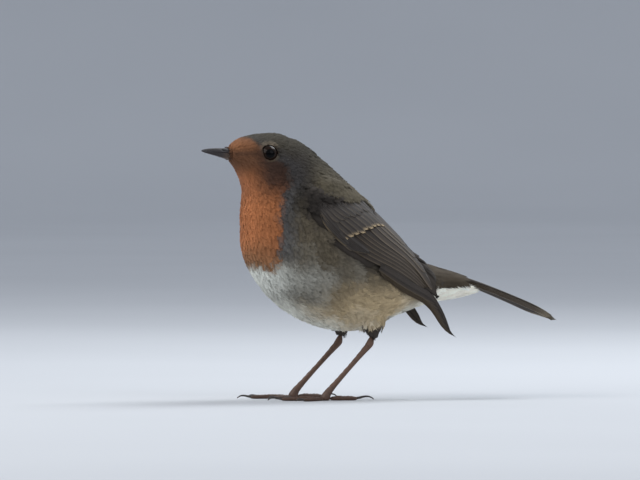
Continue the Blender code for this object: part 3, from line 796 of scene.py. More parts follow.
def unwrap(points):
    """A place on an unwrap of the skin: the angle round the body's own spine, and the distance along it."""
    yz = points[:, 1:]
    best = np.full(len(points), np.inf)
    along, angle = np.zeros(len(points)), np.zeros(len(points))
    start = 0.0
    for a, b in zip(SPINE, SPINE[1:]):
        step = b - a
        length = np.linalg.norm(step)
        f = np.clip((yz - a) @ step / length**2, 0, 1)
        offset = yz - (a + f[:, None] * step)
        gap = np.linalg.norm(offset, axis=1)
        up = np.array([step[1], -step[0]]) / length
        up = up if up[1] > 0 else -up
        closer = gap < best
        best = np.where(closer, gap, best)
        along = np.where(closer, start + f * length, along)
        angle = np.where(closer, np.arctan2(points[:, 0], offset @ up), angle)
        start += length
    return np.stack([0.02 + 0.96 * (angle / (2 * math.pi) + 0.5), 0.02 + 0.96 * along / start], axis=1)


# -------------------------------------------------------- charts of blades
CHART_INSET = 0.04  # of the chord, left free at each edge


class Chart:
    """The outer face of some thin nodes, read off the frame as a grid.

    s runs from their front end in millimetres, b from 0 at the lower edge to 1 at the upper."""

    def __init__(self, names, out, rows=26, columns=11, straight=0):
        """straight is how much the lines of the same b are straightened."""
        verts, faces = node_mesh(*names)
        order = np.argsort(verts[:, 1])
        few = max(4, len(verts) // 30)
        axis = unit(verts[order[-few:]].mean(0) - verts[order[:few]].mean(0))
        out = unit(np.array(out, float) - axis * (np.array(out, float) @ axis))
        rise = np.cross(out, axis)
        rise = -rise if rise[2] < -0.1 else rise
        level = verts @ axis
        tree = BVHTree.FromPolygons(verts.tolist(), faces.tolist())
        self.length = level.max() - level.min()
        rims = np.zeros((rows, 2, 3))
        for i, f in enumerate(np.linspace(0.003, 0.997, rows)):
            ring = cross_section(verts, faces, level, level.min() + self.length * f)
            height = ring @ rise
            rims[i] = ring[height.argmin()], ring[height.argmax()]
        rims = self.eased(rims, (0,), straight)
        self.chords = np.linalg.norm(rims[:, 1] - rims[:, 0], axis=1)
        plane, facing = np.zeros((rows, columns, 3)), np.zeros((rows, columns, 3))
        heights = np.full((rows, columns), np.nan)
        for i, (low, high) in enumerate(rims):
            normal = unit(np.cross(axis, high - low))
            facing[i] = normal if normal @ out > 0 else -normal
            plane[i] = low + np.outer(np.linspace(CHART_INSET, 1 - CHART_INSET, columns), high - low)
            for j, start in enumerate(plane[i]):
                hit = tree.ray_cast(Vector(start + facing[i, j] * 12), Vector(-facing[i, j]), 16)[0]
                # A gap between nodes lets rays through to what lies below, so those readings are left out.
                if hit is not None and (np.array(hit) - start) @ facing[i, j] > -1.6:
                    heights[i, j] = (np.array(hit) - start) @ facing[i, j]
        self.grid = self.eased(plane + facing * self.filled(heights)[..., None])
        normals = unit(np.cross(np.gradient(self.grid, axis=0), np.gradient(self.grid, axis=1)))
        self.normals = normals * np.sign(np.sum(normals * out, axis=2, keepdims=True))

    def locate(self, points):
        """The s and b of the chart's nearest places to some points."""
        rows, columns = self.grid.shape[:2]
        spread = np.linspace(0, self.length, rows * 3), np.linspace(0, 1, columns * 3)
        s, b = np.meshgrid(*spread, indexing="ij")
        places = self.at(s, b)[0].reshape(-1, 3)
        best = np.array([np.argmin(np.sum((places - p) ** 2, axis=1)) for p in points])
        return s.ravel()[best], b.ravel()[best]

    @staticmethod
    def filled(heights):
        """Gaps between nodes, bridged from the nearest readings."""
        good = np.argwhere(~np.isnan(heights))
        for i, j in np.argwhere(np.isnan(heights)):
            near = good[np.argsort(np.abs(good - (i, j)) @ (1, 2.5))[:3]]
            heights[i, j] = np.mean([heights[tuple(n)] for n in near])
        return heights

    @staticmethod
    def eased(grid, axes=(0, 1), rounds=3):
        for _ in range(rounds):
            for axis in axes:
                g = np.moveaxis(grid, axis, 0)
                g[1:-1] = 0.25 * g[:-2] + 0.5 * g[1:-1] + 0.25 * g[2:]
        return grid

    def at(self, s, b, across=0.0):
        """Points and outward normals; across is a further distance in millimetres towards the upper edge."""
        rows, columns = self.grid.shape[:2]
        x = np.asarray(s, float) / self.length * (rows - 1)
        chord = np.interp(x, np.arange(rows), self.chords)
        y = (np.asarray(b, float) + np.asarray(across, float) / np.maximum(chord, 3.0)) * (columns - 1)
        x, y = np.broadcast_arrays(x, y)
        i = np.clip(np.floor(x).astype(int), 0, rows - 2)
        j = np.clip(np.floor(y).astype(int), 0, columns - 2)
        f, g = (x - i)[..., None], (y - j)[..., None]

        def read(table):
            top = table[i, j] * (1 - g) + table[i, j + 1] * g
            return top * (1 - f) + (table[i + 1, j] * (1 - g) + table[i + 1, j + 1] * g) * f

        return read(self.grid), unit(read(self.normals))


VANE, VANE_EDGE, CAMBER = 0.05, 0.015, 0.04  # a blade's thickness inside its edges and at them, and its arch
SHAFT_RIDGE, SHAFT_SHARE = 0.03, 0.1  # the shaft's height, and its half width as a share of the web's
BLADE_ROWS, BLADE_ACROSS = 16, np.array([-1, -0.9, -0.6, -0.25, -0.05, 0.05, 0.3, 0.65, 0.92, 1])


def blade(
    pile, cell, chart, run, line, webs, height, tuck, colours, tip=(0.16, 2.0), sweep=0.0, drop=0.0, bury=0.2
):
    """One flight feather on a chart.

    cell is its place in the bake, run where it starts and ends along the chart, line its shaft's b at both
    ends, webs the widths of the lower and upper web, height its stand above the chart, tuck how much its
    upper edge sinks under the next feather, colours a function of (along, across), tip the tip's share of
    the length and its bluntness, sweep how far the tip bends towards the lower edge, drop how much its
    lower edge turns down, and bury how far its base goes under."""
    u = np.linspace(0, 1, BLADE_ROWS) ** 0.85
    along, across = np.meshgrid(u, BLADE_ACROSS, indexing="ij")
    share, blunt = tip
    point = np.clip((along - (1 - share)) / share, 0, 1)
    profile = (0.75 + 0.25 * smooth(0, 0.3, along)) * (1 - point**blunt) ** (1 / blunt)
    ragged = noise(np.stack([along * 9, across * 4, along * 0 + height * 3], -1).reshape(-1, 3), 1.0)
    web = np.where(across < 0, webs[0], webs[1])
    offset = across * web * profile * (1 + 0.02 * ragged.reshape(along.shape)) - sweep * along**2
    length = run[1] - run[0]
    s = run[0] + length * along - 0.015 * length * np.abs(across) * point
    places, normals = chart.at(s, blend(*line, along), offset)
    rise = height + CAMBER * (1 - across**2) - tuck * np.clip(across, 0, 1) * profile
    rise = rise - bury * (1 - along) ** 3 - drop * np.clip(-across, 0, 1) ** 2
    rise = rise + SHAFT_RIDGE * (np.abs(across) < SHAFT_SHARE)
    thick = VANE * (1 - across**2) * (1 - point**4) + VANE_EDGE
    top = places + normals * rise[..., None]
    under = top - normals * thick[..., None]

    rows, columns = along.shape
    faces = quads(rows, columns)
    index = np.arange(rows * columns).reshape(rows, columns)
    rim = np.concatenate([index[0], index[1:, -1], index[-1, -2::-1], index[-2:0:-1, 0]])
    wall = np.stack([rim, np.roll(rim, -1), np.roll(rim, -1) + rows * columns, rim + rows * columns], -1)
    i, j = rows // 2, columns // 2
    if np.cross(top[i + 1, j] - top[i, j], top[i, j + 1] - top[i, j]) @ normals[i, j] < 0:
        faces = faces[:, ::-1]
    else:
        wall = wall[:, ::-1]
    left, bottom, wide, tall = cell
    vane = np.stack([across * sum(webs) / 8, along * length / 10], -1)
    upper = np.stack([left + wide * (0.02 + 0.22 * (across + 1)), bottom + tall * (0.04 + 0.92 * along)], -1)
    colour = colours(along, across)
    lower = upper + (wide * 0.5, 0)
    both = {"colour": (colour, colour * 0.92), "OFBake": (upper, lower), "Vane": (vane, vane)}
    layers = {label: np.concatenate(pair).reshape(-1, pair[0].shape[-1]) for label, pair in both.items()}
    faces = np.concatenate([faces, faces[:, ::-1] + rows * columns, wall])
    pile.add(np.concatenate([top, under]).reshape(-1, 3), faces, **layers)


def cells(count):
    """Places for this many feathers in one bake."""
    columns = math.ceil(math.sqrt(count * 3))
    rows = math.ceil(count / columns)
    return [(k % columns / columns, k // columns / rows, 1 / columns, 1 / rows) for k in range(count)]


def quill_colours(dark, edge, tip=None, edge_side=-1):
    """Colours of a flight feather: paler towards the shown edge, with a dark shaft and perhaps a pale tip."""
    tone = 1 + 0.10 * rng.uniform(-1, 1)

    def colour(along, across):
        shown = smooth(0.55, 1.0, across * edge_side)
        made = mix(dark * tone, edge * tone, 0.75 * shown)
        made = made * (1 - 0.22 * smooth(0.2, 1.0, -across * edge_side))[..., None]
        if tip is not None:
            made = mix(made, tip, smooth(0.88, 0.97, along + 0.05 * across * edge_side))
        return mix(made, SHAFT, 0.8 * (np.abs(across) < SHAFT_SHARE))

    return colour


# Where each tertial ends, and its b at both ends.
TERTIALS = (45.0, 0.97, 0.97), (50.5, 0.87, 0.87), (56.0, 0.76, 0.76), (61.5, 0.62, 0.60)
GREATER_COVERTS, MEDIAN_COVERTS = 14.5, 9.5  # lengths
MEDIAN_BACK = 7.6  # how much sooner the median ones end
BAR_B, BAR_S = (0.0, 0.25, 0.8, 1.0), (20.5, 23.5, 32.0, 35.5)


def bar(b):
    """Where the greater coverts end along the wing."""
    return np.interp(b, BAR_B, BAR_S)


def wing_chart(side):
    return Chart([f"{patch}_{side}" for patch in WING_PATCHES], (SIDES[side], 0, 0.25), straight=16)


def laid(name, blades, material, slot, *replaced):
    """Builds one piece of flight feathers from the arguments of each blade; gives its tree."""
    pile = Pile()
    for cell, shape in zip(cells(len(blades)), blades):
        blade(pile, cell, *shape)
    pile.build(name, material, slot, replaced)
    return pile.tree()


def make_wing(side, wing, material):
    """The flight feathers and coverts of one wing; within each row the innermost is first and on top."""
    hand = Chart([f"primaries_{side}"], (SIDES[side], 0, 0.25), rows=20, columns=5)
    primaries, secondaries, tertials, coverts = [], [], [], []
    for k, back in enumerate((13.5, 11, 8.5, 6.2, 4, 2.2, 0.8, 0.2)):
        f = k / 7
        run, line = (0.5 + k * 0.4, hand.length - back), (0.80 - 0.45 * f, 0.72 - 0.50 * f)
        colours = quill_colours(QUILL_DARK, QUILL_EDGE)
        primaries.append((hand, run, line, (1.5, 2.6), -0.25 - 0.12 * k, 0.2, colours, (0.22, 1.6)))
    for k in range(6):
        f = k / 5
        b = 0.44 - 0.36 * f
        run, line = (bar(b) - 7, 61.0 - 3.6 * f), (b, 0.50 - 0.42 * f)
        colours = quill_colours(QUILL_DARK, QUILL_EDGE)
        secondaries.append((wing, run, line, (1.7, 2.8), -0.46 - 0.12 * k, 0.3, colours, (0.10, 2.0)))
    for k, (end, low, high) in enumerate(TERTIALS):
        colours = quill_colours(QUILL_DARK * 1.3, QUILL_EDGE * 1.2)
        run, line = (bar(low) - 7, end), (low, high)
        tertials.append((wing, run, line, (3.0, 3.0), 0.22 - 0.17 * k, 0.25, colours, (0.16, 2.0), 0.3))
    for k in range(10):  # greater coverts, whose pale tips make the wing bar
        b = 0.95 - 0.84 * k / 9
        end = bar(b) + 0.5 * rng.uniform(-1, 1)
        height = 0.24 - 0.045 * k - 0.3 * (k == 0)
        colours = quill_colours(WING_DARK, WING_EDGE, BUFF_TIP)
        run, line = (end - GREATER_COVERTS, end), (b + 0.02, b)
        coverts.append((wing, run, line, (1.6, 2.1), height, 0.3, colours, (0.20, 2.0), 0.2))
    for k in range(9):  # median coverts
        b = 0.95 - 0.80 * k / 8
        end = bar(b) - MEDIAN_BACK + 0.5 * rng.uniform(-1, 1)
        height = 0.38 - 0.045 * k - 0.3 * (k == 0)
        colours = quill_colours(WING_DARK * 0.95, WING_EDGE * 0.9)
        run, line = (end - MEDIAN_COVERTS, end), (b + 0.02, b)
        coverts.append((wing, run, line, (1.6, 2.0), height, 0.3, colours, (0.30, 2.0), 0.15, 0.0, 1.1))
    for k in range(5):  # primary coverts
        run, line = (14.0 + k, 30.5 - 1.4 * k), (0.13 - 0.025 * k, 0.10 - 0.02 * k)
        colours = quill_colours(WING_DARK * 0.85, WING_EDGE * 1.2)
        coverts.append((wing, run, line, (1.1, 1.5), -0.06 * k, 0.15, colours, (0.25, 1.8), 0.0, 0.9, 0.6))
    for k in range(3):  # alula
        run, line = (7.5 + k, 17.5 + 2.6 * k), (0.10 - 0.03 * k, 0.08 - 0.03 * k)
        colours = quill_colours(WING_DARK * 0.85, BUFF_TIP * 0.5)
        height = 0.16 - 0.08 * k
        coverts.append((wing, run, line, (1.2, 1.5), height, 0.15, colours, (0.3, 1.8), 0.0, 0.9, 0.6))
    return [
        laid("primaries_feathers_" + side, primaries, material, "flight_feathers", f"primaries_{side}"),
        laid("secondaries_feathers_" + side, secondaries, material, "flight_feathers", f"secondaries_{side}"),
        laid("tertials_feathers_" + side, tertials, material, "flight_feathers", f"tertials_{side}"),
        laid(
            "covert_feathers_" + side, coverts, material, "wing_feathers",
            f"wing_coverts_{side}", f"primary_coverts_{side}",
        ),
    ]


def make_tail(material):
    chart = Chart(["tail"], (0, 0.4, 1), rows=16, columns=9)
    blades = []
    for k in range(6):  # the middle pair is on top
        for sign in (1, -1):
            back = (1.4, 0.9, 0.4, 0.1, 0.0, 0.5)[k] + 0.25 * rng.random()
            base, tip = sign * (0.02 + 0.02 * k), sign * (0.05 + 0.058 * k)
            outer, inner = 1.9 + 0.05 * k, 3.1
            webs = (inner, outer) if sign > 0 else (outer, inner)
            run, line = (-1.5, chart.length - back), (0.5 + base, 0.5 + tip)
            colours = quill_colours(QUILL_DARK * 1.15, QUILL_EDGE, TAIL_TIP, sign)
            shape = 0.35 - 0.25 * k, 0.25 * (sign < 0), colours, (0.10, 1.7), 0.0, 0.25 * (sign > 0), 0.9
            blades.append((chart, run, line, webs, *shape))
    return [laid("tail_feathers", blades, material, "flight_feathers", "tail")]


# ------------------------------------------------------------- small parts
def refined(name, node_name, material, levels, reshape, colour):
    """A CAD node made smooth, with its own reshaping and colours."""
    bm = welded(node_name)
    bmesh.ops.join_triangles(bm, faces=bm.faces, angle_face_threshold=0.5, angle_shape_threshold=1.2)
    shape = modified(bm, SUBSURF={"levels": levels, "render_levels": levels})
    verts = reshape(in_mm(shape.vertices), np.array([v.normal[:] for v in shape.vertices]))
    shape.vertices.foreach_set("co", (verts * MM).astype(np.float32).ravel())
    paint(shape, colour(verts))
    shape.update()
    shape.shade_smooth()
    shape.name = name
    finished(new_object(name, shape), material, [node_name])


PLATE, TOE_RING = 2.4, 1.25  # the spacing of the plates on the shank and of the rings on the toes


def make_legs(skin_material, claw_material):
    for side in SIDES:
        low, high = node_box("tarsus_" + side)
        foot = np.array([(low[0] + high[0]) / 2, low[1] + 2.6, 2.6])
        heel = np.array([(low[0] + high[0]) / 2, high[1] - 1.2, high[2]])
        axis = unit(heel - foot)

        def plate(verts):
            """How far up its plate each place on the shank is, from 0 to 1."""
            return np.modf(np.abs((verts - foot) @ axis) / PLATE)[0]

        def shank(verts, normals):
            front = smooth(0.0, 0.7, -normals[:, 1] + 0.3 * normals[:, 2])
            ridge = 0.16 * front * (smooth(0.0, 0.12, plate(verts)) * (1 - plate(verts)) - 0.3)
            verts = verts + normals * (ridge * smooth(2.8, 4.5, verts[:, 2]))[:, None]
            # The top runs on up into the feathers of the thigh.
            return verts + np.outer(smooth(high[2] - 1.5, high[2], verts[:, 2]) * 1.6, (0, 0.25, 1))

        def shank_colour(verts):
            lower = mix(LEG, LEG_DARK, 0.45 * smooth(8, 0, verts[:, 2]))
            return mix(lower, LEG_DARK, 0.6 * smooth(0.12, 0.0, plate(verts)))

        refined("shank_" + side, "tarsus_" + side, skin_material, 3, shank, shank_colour)
        for digit in range(1, 5):
            toe_low, toe_high = node_box(f"toe_{digit}_{side}")
            middle = (toe_low + toe_high) / 2
            way = unit((middle - foot) * (1, 1, 0))
            reach = np.abs((toe_high - toe_low) @ np.abs(way)) / 2

            def toe(verts, normals):
                s = (verts - middle) @ way
                rings = 0.05 * np.sin(s * 2 * math.pi / TOE_RING) * smooth(-0.2, 0.6, normals[:, 2])
                grown = np.sign(s) * smooth(reach - 1.6, reach, np.abs(s)) * 0.75
                verts = verts + normals * rings[:, None] + way * grown[:, None]
                verts[:, 2] = np.maximum(verts[:, 2], 0.0)
                return verts

            def toe_colour(verts):
                ring = smooth(0.55, 1.0, -np.sin((verts - middle) @ way * 2 * math.pi / TOE_RING))
                above = smooth(0.6, 1.2, verts[:, 2])
                return mix(mix(LEG, LEG_DARK, 0.45), LEG_DARK * 0.7, 0.6 * ring * above)

            def claw(verts, _):
                s = (verts - middle) @ way
                verts = verts - np.outer(smooth(s.min() + 1.4, s.min(), s) * 0.8, way)
                verts[:, 2] = np.maximum(verts[:, 2], 0.03)
                return verts

            def claw_colour(verts):
                return mix(CLAW, CLAW * 0.5, smooth(0.4, 1.6, verts[:, 2]))

            place = f"_{digit}_{side}"
            refined("digit" + place, "toe" + place, skin_material, 2, toe, toe_colour)
            refined("nail" + place, "claw" + place, claw_material, 3, claw, claw_colour)


def loft(rings, ends=None):
    """Vertices and triangles of a closed tube through rings of points, wound outwards; ends are its poles."""
    rings = np.asarray(rings, float)
    rows, count = rings.shape[:2]
    sides = quads(rows, count, (0, 1))
    first, last = np.arange(count), np.arange(count) + (rows - 1) * count
    start, end = np.full(count, rows * count), np.full(count, rows * count + 1)
    caps = (start, first, np.roll(first, -1)), (last, end, np.roll(last, -1))
    faces = np.concatenate([sides[:, [0, 1, 2]], sides[:, [0, 2, 3]], *(np.stack(cap, 1) for cap in caps)])
    verts = np.concatenate([rings.reshape(-1, 3), ends or (rings[0].mean(0), rings[-1].mean(0))])
    corner = verts[faces]
    volume = np.sum(corner[:, 0] * np.cross(corner[:, 1], corner[:, 2]))
    return verts, faces if volume > 0 else faces[:, ::-1]


def bill_frame():
    """The bill's tip, the middle of its base at the gape's height, and level ways along it and across it."""
    verts, _ = node_mesh("bill_upper")
    level = verts @ (math.sin(HEAD_TURN), -math.cos(HEAD_TURN), 0)
    back = verts[level < level.min() + 0.3]
    tip, base = verts[level.argmax()], np.array([*((back.max(0) + back.min(0)) / 2)[:2], back[:, 2].min()])
    ahead = unit((tip - base) * (1, 1, 0))
    return tip, base, ahead, np.cross(ahead, (0, 0, 1))


def sliced(name, axis, cuts):
    """The half width across the axis, and the top and bottom, of a node at some places along a level axis."""
    verts, faces = node_mesh(name)
    level, across = verts @ axis, np.cross(axis, (0, 0, 1))
    rows = []
    for cut in np.clip(cuts, level.min() + 0.02, level.max() - 0.02):
        ring = cross_section(verts, faces, level, cut)
        side = ring @ across
        rows.append(((side.max() - side.min()) / 2, ring[:, 2].max(), ring[:, 2].min()))
    return np.array(rows).T


NOSTRIL = 2.3  # ahead of the bill's base
RUFF_COUNTS = 34, 30


def make_bill(material):
    tip, base, ahead, across = bill_frame()
    length = (tip - base) @ ahead
    near_tip = length * np.array([0.92, 0.94, 0.96, 0.975, 0.987, 0.996, 1.0])
    d = np.concatenate([np.linspace(-1.6, length * 0.9, 74), near_tip])
    cuts = base @ ahead + d
    wide, top, gape = sliced("bill_upper", ahead, cuts)
    low_wide, _, chin = sliced("bill_lower", ahead, cuts)
    blunt = np.sqrt(np.clip(1 - (d / length) ** 14, 0.0, 1)) * 0.98 + 0.02
    gape = gape - 0.15
    turn = np.linspace(0, math.pi, 21)
    back = np.linspace(-0.94, 0.94, 9)
    shapes = {
        "upper": (1, wide, top - gape - 0.025, 0.35 + 0.65 * blunt, 1.12, (-0.1, 0.1)),
        "lower": (-1, low_wide * 0.94, gape - 0.025 - chin, blunt, 0.9, (-0.05, 0.35)),
    }
    for name, (sign, widths, depths, end, arch, dark) in shapes.items():
        rings = []
        for at, half, rise, edge in zip(d, widths * blunt, depths * end, gape + sign * 0.025):
            x = np.concatenate([half * np.sign(np.cos(turn)) * np.abs(np.cos(turn)) ** 0.88, half * back])
            z = np.concatenate([sign * rise * np.sin(turn) ** arch, 0.05 * sign * (1 - back**2)])
            ring = base + ahead * at + np.outer(x, across)
            ring[:, 2] = edge + z
            if sign > 0:
                gap = np.hypot((at - NOSTRIL) / 1.05, (z - 0.52 * rise) / 0.30)
                ring = ring - np.outer(smooth(1.0, 0.3, gap) * 0.4 * np.sign(x), across)
            rings.append(ring)
        verts, faces = loft(rings)
        along = (verts - base) @ ahead
        colour = mix(BILL_BROWN, BILL_DARK, smooth(*dark, along / length))
        # The nostril is painted dark: painted shade inside its opening, over a shallow dent.
        if sign > 0:
            pit = np.hypot(along - NOSTRIL, (verts[:, 2] - base[2] - 0.9) / 0.3)
            colour = colour * blend(0.25, 1.0, smooth(0.5, 1.1, pit))[:, None]
        make_object(name + "_mandible", material, "bill", verts, faces, colour, ["bill_" + name])


def hair(root, way, bend, length, radius):
    """A tapered bristle."""
    t = np.linspace(0, 1, 6)[:, None]
    line = root + way * length * t + bend * length * t**2
    side = unit(np.cross(way, (0.3, 0.2, 1)))
    other = unit(np.cross(way, side))
    turn = circle(4)
    ring = np.outer(np.cos(turn), side) + np.outer(np.sin(turn), other)
    return loft(line[:, None] + ring[None] * (radius * (1.02 - t))[:, None])


def make_ruff(skin, pile):
    """Two rows of tiny feathers that lap forward on to the bill's base."""
    _, base, ahead, across = bill_frame()
    rows = np.repeat((0, 1), RUFF_COUNTS)
    turn = [circle(n) + 0.1 * k for k, n in enumerate(RUFF_COUNTS)]
    turn = np.concatenate(turn)
    ring = np.outer(np.cos(turn) * 1.9, across) + np.outer(np.sin(turn), (0, 0, 1.7)) + (0, 0, -0.1)
    roots, _, _, _ = skin.nearest(base + ring - np.outer(0.2 + 0.6 * rows, ahead))
    out = unit(ring)
    ways = unit(ahead + 0.25 * out + rng.normal(0, 0.12, ring.shape))
    lengths = rng.uniform(1.1, 1.7, len(roots))
    t = np.linspace(0, 1, STEPS)[None, :, None]
    places = roots[:, None] + ways[:, None] * lengths[:, None, None] * t + out[:, None] * (0.12 + 0.2 * t)
    shafts = places, np.repeat(out[:, None], STEPS, 1), np.repeat(ways[:, None], STEPS, 1)
    colours, _, _ = plumage(roots)
    widths = np.full(len(roots), 0.75)
    grow(pile, feather_form(6, 0.7, 9), shafts, widths, colours * 0.9, (0.8, 1.0), unwrap(roots))


def make_bristles(skin, material):
    """Bristles that sweep forward from round the gape, and a few on the chin."""
    _, base, ahead, across = bill_frame()
    pile = Pile()
    for sign in (-1, 1):
        for k in range(11):
            height = -0.9 + 2.2 * k / 10 + 0.2 * rng.uniform(-1, 1)
            beside = across * sign * (2.0 - 0.25 * abs(height)) + (0, 0, height)
            root = skin.nearest((base - ahead * rng.uniform(0.4, 1.2) + beside)[None])[0][0]
            way = unit(ahead + across * sign * rng.uniform(0.25, 0.55) + (0, 0, rng.uniform(-0.35, 0.15)))
            verts, faces = hair(root, way, (0, 0, -0.25) - across * sign * 0.2, rng.uniform(2.2, 4.2), 0.055)
            pile.add(verts, faces, colour=np.tile(BRISTLE, (len(verts), 1)))
    pile.build("bristles", material, "brown_feathers")


APERTURE = 2.9  # radius of the open eye
LID = 0.15  # half the thickness of its rim
CORNEA = 0.045  # how far it stands out, as a share of the eye's radius
EYE_AHEAD, EYE_UP = math.radians(16), math.radians(6)  # how the open eye faces, from straight out to the side


def eye_place(side):
    """The eye's centre and radius, and the way it faces."""
    (low, high), sign = node_box("eye_" + side), SIDES[side]
    turn = HEAD_TURN - EYE_AHEAD * sign
    out = np.array([math.cos(turn) * sign, math.sin(turn) * sign, math.tan(EYE_UP)])
    return (low + high) / 2, (high[2] - low[2]) / 2 * 1.01, unit(out)


def make_eyes(material, lid_material):
    for side in SIDES:
        centre, radius, out = eye_place(side)
        ahead = unit(np.cross([0, 0, 1], out))
        up = np.cross(out, ahead)

        def round_eye(turn, wide, lift):
            """Places at a turn round the way the eye faces, a distance from it, and a distance along it."""
            parts = (lift, out), (wide * np.cos(turn), ahead), (wide * np.sin(turn), up)
            return centre + sum(size[..., None] * way for size, way in parts)

        polar, turn = np.linspace(0, math.pi, 41)[1:-1], circle(56)
        p, t = np.meshgrid(polar, turn, indexing="ij")
        bulged = radius * (1 + CORNEA * smooth(0.75, 0.2, p))
        poles = centre + out * radius * (1 + CORNEA), centre - out * radius
        verts, faces = loft(round_eye(t, bulged * np.sin(p), bulged * np.cos(p)), poles)
        angle = np.concatenate([p.reshape(-1), [0, math.pi]])
        colour = mix(PUPIL, IRIS, smooth(0.42, 0.5, angle) * smooth(0.95, 0.85, angle))
        make_object("eyeball_" + side, material, "eyes", verts, faces, colour, ["eye_" + side])

        # The lid is a ring round the open eye, pale outside and dark inside.
        depth = math.sqrt(radius**2 - APERTURE**2) - 0.05
        turns = (circle(n) for n in (96, 10))
        r, q = np.meshgrid(*turns, indexing="ij")
        thick = LID * (1 + 0.10 * np.sin(r * 30))
        wide = APERTURE + LID + 0.14 * np.abs(np.cos(r)) ** 6 + thick * np.cos(q)
        verts = round_eye(r, wide, depth + thick * np.sin(q)).reshape(-1, 3)
        faces = quads(*r.shape, (1, 1))
        a, b, c = verts[faces[0, :3]]
        if np.cross(b - a, c - a) @ (a - centre - ahead * (APERTURE + LID) - out * depth) < 0:
            faces = faces[:, ::-1]
        colour = mix(LID_DARK, LID_PALE, smooth(-0.3, 0.9, np.cos(q)).reshape(-1))
        make_object("eyelid_" + side, lid_material, "brown_feathers", verts, faces, colour)


def clear_of_eyes(roots, lengths, lie_ways):
    """Which feathers stay off the eyes, and lengths cut short of them."""
    keep = np.ones(len(roots), bool)
    for side in SIDES:
        centre, _, out = eye_place(side)
        near = (roots - centre) @ out > 0
        for f in np.linspace(0, 1, 6):
            p = roots + lie_ways * (lengths * f)[:, None] - centre
            gap = np.linalg.norm(p - np.outer(p @ out, out), axis=1)
            if f == 0:
                keep &= ~(near & (gap < APERTURE + LID))
            else:
                hit = near & (gap < APERTURE + 0.5 * LID)
                lengths = np.where(hit, lengths * max(f - 0.2, 0.15), lengths)
    return keep & (lengths > 0.5), lengths


# ------------------------------------------------------------------- coat
# The outlines of the feathers round the tail's root: y, half width, height of the widest place, and height on
# the middle line, above and below.
OVER_TAIL = np.array(
    [
        (8, 13.5, 41.5, 54.2), (12, 13.0, 40.6, 50.3), (16, 11.6, 39.8, 47.4), (20, 9.0, 39.2, 46.2),
        (24, 6.7, 39.8, 45.0), (28, 5.8, 39.8, 43.9), (32, 5.6, 38.8, 42.6), (36, 5.6, 37.5, 41.1),
    ]
)
UNDER_TAIL = np.array(
    [
        (6, 14.5, 38.0, 28.2), (11, 14.0, 39.2, 30.2), (14, 13.2, 39.8, 31.4), (17, 11.6, 40.2, 32.4),
        (20, 9.0, 40.5, 33.1), (24, 6.4, 40.5, 33.7), (29, 4.9, 39.8, 34.4), (33, 3.9, 38.8, 35.1),
        (38, 2.2, 37.4, 36.6), (41, 1.0, 36.6, 36.2),
    ]
)
TAIL_WRAP = 1.5  # radians each way from the middle line
TAIL_COVERTS = 9.0, 3.0  # length, width
OVER_BLADES = {"scapulars": 0.6, "wing_coverts": 0.45}  # how much further out these lie to clear the blades
BATCH, FULL_PILE = 400, 150_000  # feathers grown at a time, and triangles after which a coat piece is closed


def tail_coverts(outline, rows, length, width):
    """Shafts and widths of rows of long feathers that lie straight along the tail's root."""
    y0, turn = [], []
    for k, y in enumerate(rows):
        count = max(3, round(np.interp(y, outline[:, 0], outline[:, 1]) * 6.82 / width))
        spread = np.linspace(-TAIL_WRAP, TAIL_WRAP, count) + (k % 2) * TAIL_WRAP / count
        y0.append(np.full(count, float(y)))
        turn.append(spread)
    y0, turn = np.concatenate(y0), np.concatenate(turn)
    y0 = y0 + 0.5 * rng.uniform(-1, 1, len(y0))
    turn = turn + 0.05 * rng.uniform(-1, 1, len(turn))
    lengths = length * (1 + 0.10 * rng.uniform(-1, 1, len(y0)))

    def surface(y, turn):
        half, middle, edge = (np.interp(y, outline[:, 0], outline[:, k]) for k in (1, 2, 3))
        return np.stack([half * np.sin(turn), y, middle + (edge - middle) * np.cos(turn)], -1)

    y = y0[:, None] + lengths[:, None] * np.linspace(0, 1, STEPS)
    t = turn[:, None] * np.ones(STEPS)
    places = surface(y, t)
    ways = unit(surface(y + 0.5, t) - surface(y - 0.5, t))
    ups = unit(np.cross(surface(y, t + 0.05) - surface(y, t - 0.05), ways))
    middle = np.stack([0 * y, y, np.interp(y, outline[:, 0], outline[:, 2])], -1)
    ups = ups * np.sign(np.sum(ups * (places - middle), axis=2, keepdims=True))
    lift = np.array([-0.5, -0.1, 0.05, 0.1])
    places = places + ups * (lift * (1 + 0.2 * rng.uniform(-1, 1, (len(y0), 1))))[..., None]
    return (places, ups, ways), width * (1 + 0.1 * rng.uniform(-1, 1, len(y0)))


def pierced(trees, shafts, widths):
    """Which feathers pass through the flight feathers."""
    places, ups, ways = shafts
    side = np.cross(ups, ways) * (0.35 * widths)[:, None, None]
    found = np.zeros(len(places), bool)
    for shift in (-1, 0, 1):
        line = places + shift * side
        for k in range(STEPS - 1):
            step = line[:, k + 1] - line[:, k]
            for i in np.flatnonzero(~found):
                start, way = Vector(line[i, k]), Vector(step[i])
                found[i] = any(tree.ray_cast(start, way, way.length)[0] is not None for tree in trees)
    return found


